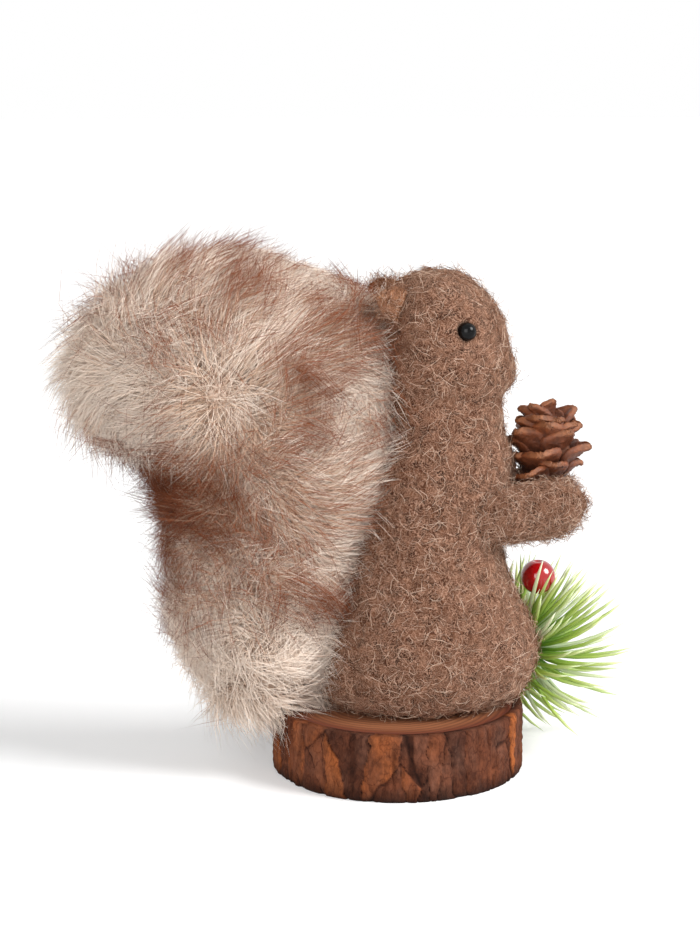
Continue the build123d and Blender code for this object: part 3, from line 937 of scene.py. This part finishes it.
# Half the sine plus the node's own third value, which is a half too
ring_share = sawn.math("MULTIPLY_ADD", ring, 0.5)
grain = sawn.ramp(
    ring_share, [(0.0, srgb(146, 91, 56)), (0.7, srgb(132, 80, 49)), (1.0, srgb(108, 61, 37))]
)
from_axis = sawn.add("VectorMath", operation="LENGTH")
sawn.link(sawn.place((1, 1, 0)), from_axis.inputs[0])
from_middle = sawn.math("ADD", from_axis.outputs["Value"], sawn.math("MULTIPLY", ripple, 0.0016))
# Partly painted shade: the pale band outside is sapwood, and the darker wood inside it stands for
# the body's shadow on the sawn face
sapwood_and_painted_shade = sawn.ramp(from_middle, [(0.0220, grey(0)), (0.0245, grey(0.12))])
edge = sawn.ramp(from_middle, [(0.0258, grey(1)), (0.0265, (0.46, 0.25, 0.18, 1))])
sawn.colour(sawn.multiply(sawn.mix(sapwood_and_painted_shade, grain, srgb(186, 120, 76)), edge))
sawn.bump(ring, 0.15, 0.0002)
print("sawn wood ready:", sawn.material.name)

# %% [markdown]
# Bark is a stack of patterns on each plate: its own hue, a grey weathering, fine flecks and flakes,
# dark cracks, and a painted shadow that darkens the bark's bottom edge where the slice stands on
# the table. The cracks and hues come with the mesh, as two of its attributes.

# %% Bark material

bark = Recipe("bark", 0.9)
height = bark.add("Attribute", attribute_name="plate_height")
hue = bark.add("Attribute", attribute_name="plate_hue")
spot = bark.place((1, 1, 0.5))
plate = bark.ramp(
    hue.outputs["Fac"],
    [
        (0.0, srgb(72, 41, 29)),
        (0.4, srgb(106, 61, 41)),
        (0.7, srgb(134, 76, 44)),
        (1.0, srgb(166, 96, 52)),
    ],
)
weathered = bark.ramp(bark.noise(spot, 170.0, 4.0, 0.6), [(0.46, grey(0)), (0.70, grey(0.4))])
plate = bark.mix(weathered, plate, srgb(112, 84, 72))
fleck = bark.ramp(
    bark.noise(spot, 520.0, 7.0, 0.78), [(0.36, (0.45, 0.40, 0.38, 1)), (0.64, (1.3, 1.24, 1.2, 1))]
)
flake = bark.ramp(bark.web(spot, 330.0, 2.2), [(0.0, (0.62, 0.56, 0.53, 1)), (0.05, grey(1))])
crack = bark.ramp(height.outputs["Fac"], [(0.0, (0.16, 0.12, 0.11, 1)), (0.5, grey(1))])
# Painted shadow: the bark is darkened along its bottom edge, where the slice stands on the table
upright = bark.add("SeparateXYZ")
bark.link(bark.place(), upright.inputs["Vector"])
painted_foot_shadow = bark.ramp(upright.outputs["Z"], [(0.0003, (0.2, 0.17, 0.16, 1)), (0.0013, grey(1))])
for pattern in (fleck, flake, crack, painted_foot_shadow):
    plate = bark.multiply(plate, pattern)
bark.colour(plate)
bark.set("Specular IOR Level", 0.15)
bark.bump(bark.noise(spot, 700.0, 7.0, 0.75), 1.0, 0.0007)
print("bark ready:", bark.material.name)

# %% [markdown]
# The bark ring starts as a many-sided cylinder. Its ends are inset to the wood's edge and the
# inset faces bridged, which leaves a ring. The upright edges outside are then divided, so that
# the bark has many small faces.

# %% Bark ring

SLICE_RADIUS = 0.030
WOOD_RADIUS = 0.0272
SLICE_HEIGHT = 0.0155
MIDDLE_RADIUS = (SLICE_RADIUS + WOOD_RADIUS) / 2
BARK_SIDES = 480
BARK_CUTS = 36

bpy.ops.object.select_all(action="DESELECT")
bpy.ops.mesh.primitive_cylinder_add(
    vertices=BARK_SIDES, radius=SLICE_RADIUS, depth=SLICE_HEIGHT, location=(0, 0, SLICE_HEIGHT / 2)
)
bark_piece = bpy.context.active_object
bpy.ops.object.transform_apply(location=True)
bpy.ops.object.mode_set(mode="EDIT")
bpy.ops.mesh.select_mode(type="FACE")
bpy.ops.mesh.select_all(action="DESELECT")
bpy.ops.object.mode_set(mode="OBJECT")
for face in bark_piece.data.polygons:
    face.select = abs(face.normal.z) > 0.5
bpy.ops.object.mode_set(mode="EDIT")
bpy.ops.mesh.inset(thickness=SLICE_RADIUS - WOOD_RADIUS)
bpy.ops.mesh.bridge_edge_loops()
bpy.ops.mesh.select_mode(type="EDGE")
bpy.ops.mesh.select_all(action="DESELECT")
bpy.ops.object.mode_set(mode="OBJECT")
mesh = bark_piece.data
for line in mesh.edges:
    a, b = (mesh.vertices[i].co for i in line.vertices)
    is_upright = abs(a.z - b.z) > SLICE_HEIGHT / 2
    line.select = is_upright and Vector((a.x, a.y)).length > MIDDLE_RADIUS
bpy.ops.object.mode_set(mode="EDIT")
bpy.ops.mesh.subdivide(number_cuts=BARK_CUTS)
bpy.ops.mesh.select_all(action="SELECT")
bpy.ops.mesh.normals_make_consistent(inside=False)
bpy.ops.object.mode_set(mode="OBJECT")
print("bark ring faces:", len(mesh.polygons))

# %% [markdown]
# Real bark splits into tall plates. A displace modifier with a cell texture could crack it, but
# the colour should follow the same cracks. So each point belongs to the nearest of some random
# seeds, a crack runs where two seeds are equally near, and the same numbers push and colour it.

# %% Bark plates

PLATES = 64
CRACK_WIDTH = 0.0008
CRACK_DEPTH = 0.0006
PLATE_STEP = 0.0005
RIM_WIDTH = 0.0010
RIM_DEPTH = 0.0004
SEED_MARGIN = 0.002

place = vertex_values(mesh, "co")
round_angle = np.arctan2(place[:, 1], place[:, 0])
reach = np.hypot(place[:, 0], place[:, 1])
rng = np.random.default_rng(7)
seed_angle = rng.uniform(-math.pi, math.pi, PLATES)
seed_height = rng.uniform(-SEED_MARGIN, SLICE_HEIGHT + SEED_MARGIN, PLATES)
seed_hue = rng.beta(1.6, 2.2, PLATES)
bent = round_angle + 0.035 * wave(place, 420.0, 3) + 0.012 * wave(place, 1500.0, 13)
turn = np.abs(bent[:, None] - seed_angle[None, :])
turn = np.minimum(turn, 2 * math.pi - turn) * SLICE_RADIUS
tall = (place[:, 2] + 0.0012 * wave(place, 600.0, 4))[:, None] - seed_height[None, :]
gap = np.hypot(turn * 1.6, tall * 0.55)
own_hue = seed_hue[np.argmin(gap, axis=1)]
nearest, second = np.partition(gap, 1, axis=1)[:, :2].T
border = np.clip((second - nearest) / CRACK_WIDTH, 0, 1)
fissure = wave(place * np.array([1, 1, 0.12]), 1700.0, 15)
border = border * np.clip((fissure + 1.25) / 0.4, 0.35, 1)
hue_value = np.clip(own_hue + 0.10 * wave(place, 900.0, 16), 0, 1)
rim = np.clip(np.minimum(place[:, 2], SLICE_HEIGHT - place[:, 2]) / RIM_WIDTH, 0, 1)
push = -CRACK_DEPTH * (1 - border) + PLATE_STEP * (own_hue - 0.45)
push += 0.00012 * wave(place, 2600.0, 9) - RIM_DEPTH * (1 - rim)
push += 0.0003 * wave(place * np.array([1, 1, 0.1]), 130.0, 8)
place[:, :2] *= np.where(reach > MIDDLE_RADIUS, 1 + push / reach, 1.0)[:, None]
mesh.vertices.foreach_set("co", place.astype(np.float32).ravel())
for name, values in (("plate_height", border), ("plate_hue", hue_value)):
    layer = mesh.attributes.new(name, "FLOAT", "POINT")
    layer.data.foreach_set("value", values.astype(np.float32))
mesh.update()
settle(bark_piece, "bark", bark.material, ["bark_ring"])

# %% [markdown]
# ## Cone
# A small cone is a spiral of woody scales, paler at the rim and darkened toward the root. The
# darkness at the root is painted shade for the gaps between overlapping scales. The mesh of each
# scale carries its own way from root to rim as an attribute, which the colour follows.

# %% Cone material

scale_wood = Recipe("cone_scale", 0.55)
root_to_rim = scale_wood.add("Attribute", attribute_name="scale_reach")
streak = scale_wood.noise(scale_wood.place(), 620.0, 6.0, 0.7)
# The near-black root is painted shade in the gaps between the scales, and the paler rim is the
# scale's own colour
painted_root_shade_and_rim_tint = scale_wood.ramp(
    root_to_rim.outputs["Fac"],
    [
        (0.0, srgb(50, 22, 10)),
        (0.4, srgb(98, 50, 25)),
        (0.8, srgb(124, 67, 34)),
        (1.0, srgb(138, 86, 52)),
    ],
)
speck = scale_wood.ramp(streak, [(0.34, (0.52, 0.47, 0.44, 1)), (0.66, (1.22, 1.16, 1.1, 1))])
scale_wood.colour(scale_wood.multiply(painted_root_shade_and_rim_tint, speck))
scale_wood.bump(streak, 0.8, 0.0005)
print("cone material ready:", scale_wood.material.name)

# %% [markdown]
# One scale is modelled: a flat grid cut to a rounded tongue, hollowed like a spoon, and given
# thickness and round edges by modifiers.

# %% One cone scale

WIDEST = 0.6


def cone_scale():
    """One spoon-shaped scale, 1 long and 2 wide, that points along +X."""
    bpy.ops.object.select_all(action="DESELECT")
    bpy.ops.mesh.primitive_grid_add(x_subdivisions=10, y_subdivisions=8, size=2, location=(0, 0, 0))
    blade = bpy.context.active_object
    reach = []
    for vertex in blade.data.vertices:
        share = (vertex.co.x + 1) / 2
        across = vertex.co.y
        if share < WIDEST:
            wide = 0.34 + 0.66 * math.sin(math.pi / 2 * share / WIDEST)
        else:
            wide = 1 - 0.86 * ((share - WIDEST) / (1 - WIDEST)) ** 1.7
        side = across * wide
        cup = 0.17 * side * side
        curl = 0.13 * max(0.0, share - 0.55) ** 2 / 0.2
        ridge = 0.05 * math.exp(-((side / 0.25) ** 2)) * share
        vertex.co = (share, side, cup - curl - ridge)
        reach.append(min(1.0, 0.76 * share + 0.28 * max(abs(across) ** 5 * share, share**9)))
    layer = blade.data.attributes.new("scale_reach", "FLOAT", "POINT")
    layer.data.foreach_set("value", reach)
    thick = blade.modifiers.new("thickness", "SOLIDIFY")
    thick.thickness = 0.16
    thick.offset = -1
    round_off = blade.modifiers.new("round", "SUBSURF")
    round_off.levels = 1
    round_off.render_levels = 1
    apply_all(blade)
    return blade


first_scale = cone_scale()
print("vertices of one scale:", len(first_scale.data.vertices))

# %% [markdown]
# The scale is copied up the cone. An array modifier could copy it, but all would be alike. Each
# copy here is turned on by the golden angle from the one before, as on a real cone, and gets its
# own size, tilt and slight roughness. The copies of a row are joined to one piece for the row.

# %% Cone rows

CONE_Y = -0.0346
CONE_BOTTOM = 0.0667
SCALE_ROOT = 0.0034
SCALE_ROUGHNESS = 0.00010
ROW_RISE = 0.0024
GOLDEN_TURN = math.radians(137.5)
# Rows from the stalk up: height above the stalk, number, length, half width, tilt in degrees
CONE_ROWS = [
    (-0.0006, 7, 0.0080, 0.0044, 38),
    (0.0018, 7, 0.0096, 0.0047, 46),
    (0.0044, 6, 0.0102, 0.0048, 54),
    (0.0068, 5, 0.0094, 0.0046, 62),
    (0.0088, 4, 0.0078, 0.0038, 72),
]

placed = 0
for index, (rise, number, length, half_width, tilt) in enumerate(CONE_ROWS):
    rng = np.random.default_rng(50 + index)
    row = []
    for k in range(number):
        blade = first_scale.copy()
        blade.data = first_scale.data.copy()
        bpy.context.collection.objects.link(blade)
        own_length = length * rng.uniform(0.88, 1.10)
        own_width = half_width * rng.uniform(0.88, 1.14)
        for vertex in blade.data.vertices:
            rough = rng.normal(0, SCALE_ROUGHNESS, 3)
            vertex.co = (
                SCALE_ROOT + vertex.co.x * own_length + rough[0],
                vertex.co.y * own_width + rough[1],
                vertex.co.z * length + rough[2],
            )
        lean = math.radians(tilt + 8 * k / number + rng.normal(0, 6))
        turn = placed * GOLDEN_TURN + rng.normal(0, 0.08)
        blade.rotation_euler = (rng.normal(0, 0.20), -lean, turn)
        blade.location = (0, CONE_Y, CONE_BOTTOM + rise + ROW_RISE * k / number)
        row.append(blade)
        placed += 1
    bpy.ops.object.select_all(action="DESELECT")
    for blade in row:
        blade.select_set(True)
    bpy.context.view_layer.objects.active = row[0]
    bpy.ops.object.join()
    name = f"cone_row_{index + 1}"
    settle(row[0], name, scale_wood.material, [f"cone_scales_row_{index + 1}"])
bpy.data.objects.remove(first_scale)

# %% [markdown]
# ## Needles and berry
# The tuft is soft plastic needles that spray from the twig's end. They curve upward, and their
# tips are frosted. Each is a thin five-sided rod from the strand helper.

# %% Needle material

needle = Recipe("needle_green", 0.45)
tone, length = strand_coordinates(needle)
leaf = needle.ramp(
    length,
    [
        (0.0, srgb(46, 92, 44)),
        (0.3, srgb(116, 156, 50)),
        (0.65, srgb(172, 196, 92)),
        (0.88, srgb(212, 222, 164)),
        (1.0, srgb(244, 246, 238)),
    ],
)
fade = needle.ramp(tone, [(0.0, (0.72, 0.78, 0.66, 1)), (1.0, (1.12, 1.08, 1.0, 1))])
frost = needle.ramp(tone, [(0.70, grey(0)), (0.74, grey(0.6))])
needle.colour(needle.mix(frost, needle.multiply(leaf, fade), srgb(222, 230, 206)))
print("needle material ready:", needle.material.name)

# %% [markdown]
# On the real sprig the needles stand in whorls round the twig. Each whorl is opened at its own
# angle, and a needle that would run into the body, the slice or the berry is left out.

# %% Room for the needles

TWIG_KNEE = np.array([0.0230, -0.01099, 0.0225])
TWIG_END = np.array([0.015042, -0.033058, 0.0245])
BERRY = np.array([0.008938, -0.034458, 0.0430])
BERRY_CLEARANCE = 0.0046
SLICE_REACH = 0.0306
SLICE_TOP = 0.0162
TABLE_CLEARANCE = 0.0006
# The body's rounds at some heights: half width and half depth about a middle set forward
BODY_HEIGHTS = (0.0163, 0.019, 0.029, 0.041, 0.052)
BODY_HALF_WIDTHS = (0.0185, 0.0206, 0.0224, 0.0206, 0.0186)
BODY_HALF_DEPTHS = (0.0236, 0.0266, 0.0290, 0.0243, 0.0200)
BODY_FORWARD = 0.0045

twig_way = unit(TWIG_END - TWIG_KNEE)
twig_side = unit(np.cross(twig_way, np.array([0, 0, 1.0])))
twig_up = np.cross(twig_side, twig_way)


def stays_clear(path):
    """Whether a needle, past its root, keeps clear of the body, slice, berry and table."""
    x, y, z = path.T
    wide = np.interp(z, BODY_HEIGHTS, BODY_HALF_WIDTHS)
    deep = np.interp(z, BODY_HEIGHTS, BODY_HALF_DEPTHS)
    in_body = np.hypot(x / wide, (-y - BODY_FORWARD) / deep) < 1.02
    in_slice = (z < SLICE_TOP) & (np.hypot(x, y) < SLICE_REACH)
    in_berry = np.linalg.norm(path - BERRY, axis=1) < BERRY_CLEARANCE
    return not (in_body | in_slice | in_berry)[1:].any() and z.min() > TABLE_CLEARANCE


print("twig points along:", twig_way.round(3))

# %% [markdown]
# A needle leaves the twig at its whorl's angle and bends upward along its length. Needles that
# point down are longer and bend forward, so the tuft hangs past the slice.

# %% Needle paths

NEEDLE_STEPS = np.linspace(0, 1, 7)
NEEDLE_LENGTH = 0.0234
NEEDLE_LIFT = 0.0100
NEEDLE_FORWARD = 0.0080
PER_WHORL = 24
WHORL_GAP = 0.0011
TWIG_RADIUS = 0.0008
FIRST_OPENING = 18
LAST_OPENING = 82
LAST_WHORL = 10


def needle_paths(first, last, rng):
    """Curved needle paths for some whorls, without those that would hit something."""
    kept = []
    for whorl in range(first, last):
        opening = FIRST_OPENING + (LAST_OPENING - FIRST_OPENING) * whorl / LAST_WHORL
        for number in range(PER_WHORL):
            turn = 2 * math.pi * (number + 0.5 * (whorl % 2)) / PER_WHORL + rng.normal(0, 0.12)
            opened = math.radians(opening) + (0.0, 0.5, 0.9)[number % 3] + rng.normal(0, 0.08)
            across = twig_side * math.cos(turn) + twig_up * math.sin(turn)
            way = twig_way * math.cos(opened) + across * math.sin(opened)
            root = TWIG_END - twig_way * WHORL_GAP * whorl + across * TWIG_RADIUS
            upward, downward = max(0.0, way[2]), max(0.0, -way[2])
            size = NEEDLE_LENGTH * rng.uniform(0.80, 1.04) * (1 + 0.34 * downward)
            path = root[None, :] + way[None, :] * (NEEDLE_STEPS * size)[:, None]
            path[:, 2] += NEEDLE_LIFT * NEEDLE_STEPS**2 * (1 - upward - 0.4 * downward)
            path[:, 1] -= NEEDLE_FORWARD * NEEDLE_STEPS**2 * downward
            if stays_clear(path):
                kept.append(path)
    return kept


# %% [markdown]
# A few more needles are placed one by one in front of the berry, where the real sprig has them. The
# packed tuft has three groups along the twig, and each becomes one piece.

# %% Needles

NEEDLE_TAPER = np.array([0.8, 1.0, 1.0, 1.0, 0.95, 0.75, 0.0]) * 0.00048


def needles_before_berry(rng):
    """A few needles that pass in front of the berry."""
    kept = []
    for lean in (-0.0035, -0.0012, 0.0014):
        root = TWIG_END + np.array([-0.001, 0.0006, 0.0008])
        end = np.array([-0.0035, -0.0350 + lean, 0.0500 + 0.8 * lean]) + rng.normal(0, 0.0006, 3)
        path = root[None, :] + (end - root)[None, :] * NEEDLE_STEPS[:, None]
        path[:, 1] += 0.0030 * NEEDLE_STEPS * (1 - NEEDLE_STEPS)
        kept.append(path)
    return kept


for name, first, last in (("tip", 0, 4), ("middle", 4, 8), ("back", 8, 11)):
    rng = np.random.default_rng(70 + first)
    paths = needle_paths(first, last, rng)
    if name == "tip":
        paths += needles_before_berry(rng)
    paths = np.array(paths)
    radii = rng.uniform(0.85, 1.15, (len(paths), 1)) * NEEDLE_TAPER[None, :]
    tones = rng.integers(0, TONES, len(paths))
    tuft = strand_mesh("needles_" + name, paths, radii, tones, 5, rng)
    settle(tuft, "needle_tuft_" + name, needle.material, ["needles_" + name])

# %% [markdown]
# The berry is a glossy lacquered bead. It is a ball with a small dimple at its crown, and its
# red is slightly uneven under a clear coat.

# %% Berry

BERRY_RADIUS = 0.0042
DIMPLE = 0.0009

red = Recipe("berry_red", 0.16)
mottle = red.noise(red.place(), 160.0, 3.0)
red.colour(red.ramp(mottle, [(0.3, srgb(128, 4, 10)), (0.7, srgb(186, 14, 20))]))
red.set("Coat Weight", 0.6)
red.set("Coat Roughness", 0.06)

bpy.ops.object.select_all(action="DESELECT")
bpy.ops.mesh.primitive_uv_sphere_add(
    segments=48, ring_count=32, radius=BERRY_RADIUS, location=BERRY
)
bead = bpy.context.active_object
bpy.ops.object.transform_apply(location=True)
for vertex in bead.data.vertices:
    from_pole = math.hypot(vertex.co.x - BERRY[0], vertex.co.y - BERRY[1])
    if vertex.co.z > BERRY[2]:
        vertex.co.z -= DIMPLE * math.exp(-((from_pole / DIMPLE) ** 2))
settle(bead, "berry_bead", red.material, ["berry"])

# %% [markdown]
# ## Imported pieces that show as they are
# The bead eyes, twig, wires, dowel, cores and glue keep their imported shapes. Each gets a simple
# material of its own, the hidden ones too.

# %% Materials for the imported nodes

bead_black = Recipe("eye_black", 0.18)
mottle = bead_black.noise(bead_black.place(), 300.0)
bead_black.colour(bead_black.ramp(mottle, [(0.3, srgb(3, 3, 3)), (0.7, srgb(8, 7, 8))]))
bead_black.set("Specular IOR Level", 0.16)

# Name, darker and lighter screen colour, scale of the mottling, roughness, nodes that wear it
PLAIN_FINISHES = [
    ("dowel_birch", (190, 152, 106), (214, 180, 134), 220.0, 0.6, ["spine_dowel"]),
    (
        "clear_glue",
        (206, 198, 172),
        (226, 220, 200),
        160.0,
        0.3,
        ["body_glue_pad", "tail_glue_strip", "sprig_glue"],
    ),
    ("core_wool", (196, 180, 158), (222, 208, 190), 320.0, 0.95, ["body_core", "head_core"]),
    ("filling_white", (226, 224, 218), (244, 242, 238), 260.0, 0.95, ["tail_filling"]),
    (
        "steel_wire",
        (150, 150, 150),
        (184, 184, 184),
        400.0,
        0.35,
        ["arm_wire_left", "arm_wire_right"],
    ),
    ("cone_heart", (70, 36, 20), (112, 64, 38), 500.0, 0.8, ["cone_core"]),
    ("twig_wrap", (66, 58, 30), (98, 86, 46), 700.0, 0.7, ["sprig_twig"]),
    ("berry_stalk", (58, 72, 34), (84, 98, 48), 500.0, 0.5, ["berry_wire"]),
]


def plain_finish(name, dark, light, scale, roughness):
    """A mottled finish between two screen colours."""
    finish = Recipe(name, roughness)
    cloud = finish.noise(finish.place(), scale)
    finish.colour(finish.ramp(cloud, [(0.3, srgb(*dark)), (0.7, srgb(*light))]))
    finish.bump(cloud, 0.3, 0.0002)
    return finish.material


dressed = {
    "wood_slice": sawn.material,
    "eye_left": bead_black.material,
    "eye_right": bead_black.material,
}
for *look, wearers in PLAIN_FINISHES:
    finish = plain_finish(*look)
    dressed.update({name: finish for name in wearers})
for name, material in dressed.items():
    for place in nodes[name].material_slots:
        place.material = material
print("packed nodes dressed:", len(dressed))

# %% [markdown]
# ## Floor, light and camera
# The floor is pale paper. A little glow that only the camera and reflections see makes it nearly
# white, while it still catches the soft shadow.

# %% Floor

FLOOR_GLOW = 0.22

bpy.ops.object.select_all(action="DESELECT")
bpy.ops.mesh.primitive_plane_add(size=12, location=(0, 0, 0))
floor = bpy.context.active_object
floor.name = "studio_floor"
paper = Recipe("studio_paper", 0.9)
paper.set("Base Color", grey(0.86))
paper.set("Specular IOR Level", 0.1)
glow = paper.add("Emission")
rays = paper.add("LightPath")
seen = paper.math("MAXIMUM", rays.outputs["Is Camera Ray"], rays.outputs["Is Glossy Ray"])
seen = paper.math("MAXIMUM", seen, rays.outputs["Is Transmission Ray"])
paper.link(paper.math("MULTIPLY", seen, FLOOR_GLOW), glow.inputs["Strength"])
total = paper.add("AddShader")
paper.link(paper.shader.outputs["BSDF"], total.inputs[0])
paper.link(glow.outputs["Emission"], total.inputs[1])
paper.link(total.outputs["Shader"], paper.tree.nodes["Material Output"].inputs["Surface"])
floor.data.materials.append(paper.material)
print("floor ready:", floor.name)

# %% [markdown]
# The world is white to the camera, as the photograph's background is, and dimmer as a light, so
# that it doesn't wash out the colours.

# %% World

WORLD_LIGHT = 0.42

scene = bpy.context.scene
scene.view_settings.view_transform = "Standard"
world = bpy.data.worlds.new("studio_white")
scene.world = world
world.use_nodes = True
tree = world.node_tree
back = tree.nodes["Background"]
back.inputs["Color"].default_value = grey(1)
rays = tree.nodes.new("ShaderNodeLightPath")
seen = rays.outputs["Is Camera Ray"]
for ray in ("Is Transmission Ray", "Is Glossy Ray"):
    either = tree.nodes.new("ShaderNodeMath")
    either.operation = "MAXIMUM"
    tree.links.new(seen, either.inputs[0])
    tree.links.new(rays.outputs[ray], either.inputs[1])
    seen = either.outputs["Value"]
level = tree.nodes.new("ShaderNodeMapRange")
level.inputs["To Min"].default_value = WORLD_LIGHT
level.inputs["To Max"].default_value = 1.0
tree.links.new(seen, level.inputs["Value"])
tree.links.new(level.outputs["Result"], back.inputs["Strength"])
print("world ready:", world.name)

# %% [markdown]
# A large soft sun from the squirrel's front gives the photograph's long pale shadow to the left,
# and an area lamp fills the side that the camera sees.

# %% Lamps

KEY_PLACE = (-0.30, -0.70, 0.62)
KEY_TARGET = (0, 0, 0.06)
FILL_PLACE = (-0.80, 0.30, 0.40)
FILL_TARGET = (0, 0.02, 0.06)


def facing(way):
    """The turn that points a lamp or camera along a way."""
    return Vector(way).to_track_quat("-Z", "Y").to_euler()


def hang(lamp, place, target):
    """Put a lamp at a place and turn it to a target."""
    piece = bpy.data.objects.new(lamp.name, lamp)
    piece.location = place
    piece.rotation_euler = facing(Vector(target) - Vector(place))
    bpy.context.collection.objects.link(piece)


key = bpy.data.lights.new("key_lamp", "SUN")
key.angle = math.radians(30)
key.energy = 3.5
hang(key, KEY_PLACE, KEY_TARGET)
fill = bpy.data.lights.new("fill_lamp", "AREA")
fill.size = 0.6
fill.energy = 5.0
hang(fill, FILL_PLACE, FILL_TARGET)
print("lamps:", key.name, fill.name)

# %% [markdown]
# The camera stands on the squirrel's right side, a little behind it and above it. Its place
# and lens were fitted to the outline in the photograph.

# %% Camera

SENSOR = 36
PHOTO_HEIGHT = 933
FOCAL_PIXELS = 2173.8
CAMERA_PLACE = (-0.49810, 0.04358, 0.16505)
CAMERA_WAY = (0.98112, -0.06305, -0.18282)

lens = bpy.data.cameras.new("photo_camera")
lens.sensor_fit = "AUTO"
lens.sensor_width = SENSOR
lens.lens = SENSOR * FOCAL_PIXELS / PHOTO_HEIGHT
lens.clip_start = 0.01
lens.clip_end = 50
camera = bpy.data.objects.new("photo_camera", lens)
camera.location = CAMERA_PLACE
camera.rotation_euler = facing(CAMERA_WAY)
bpy.context.collection.objects.link(camera)
scene.camera = camera
print("lens, mm:", round(lens.lens, 2))
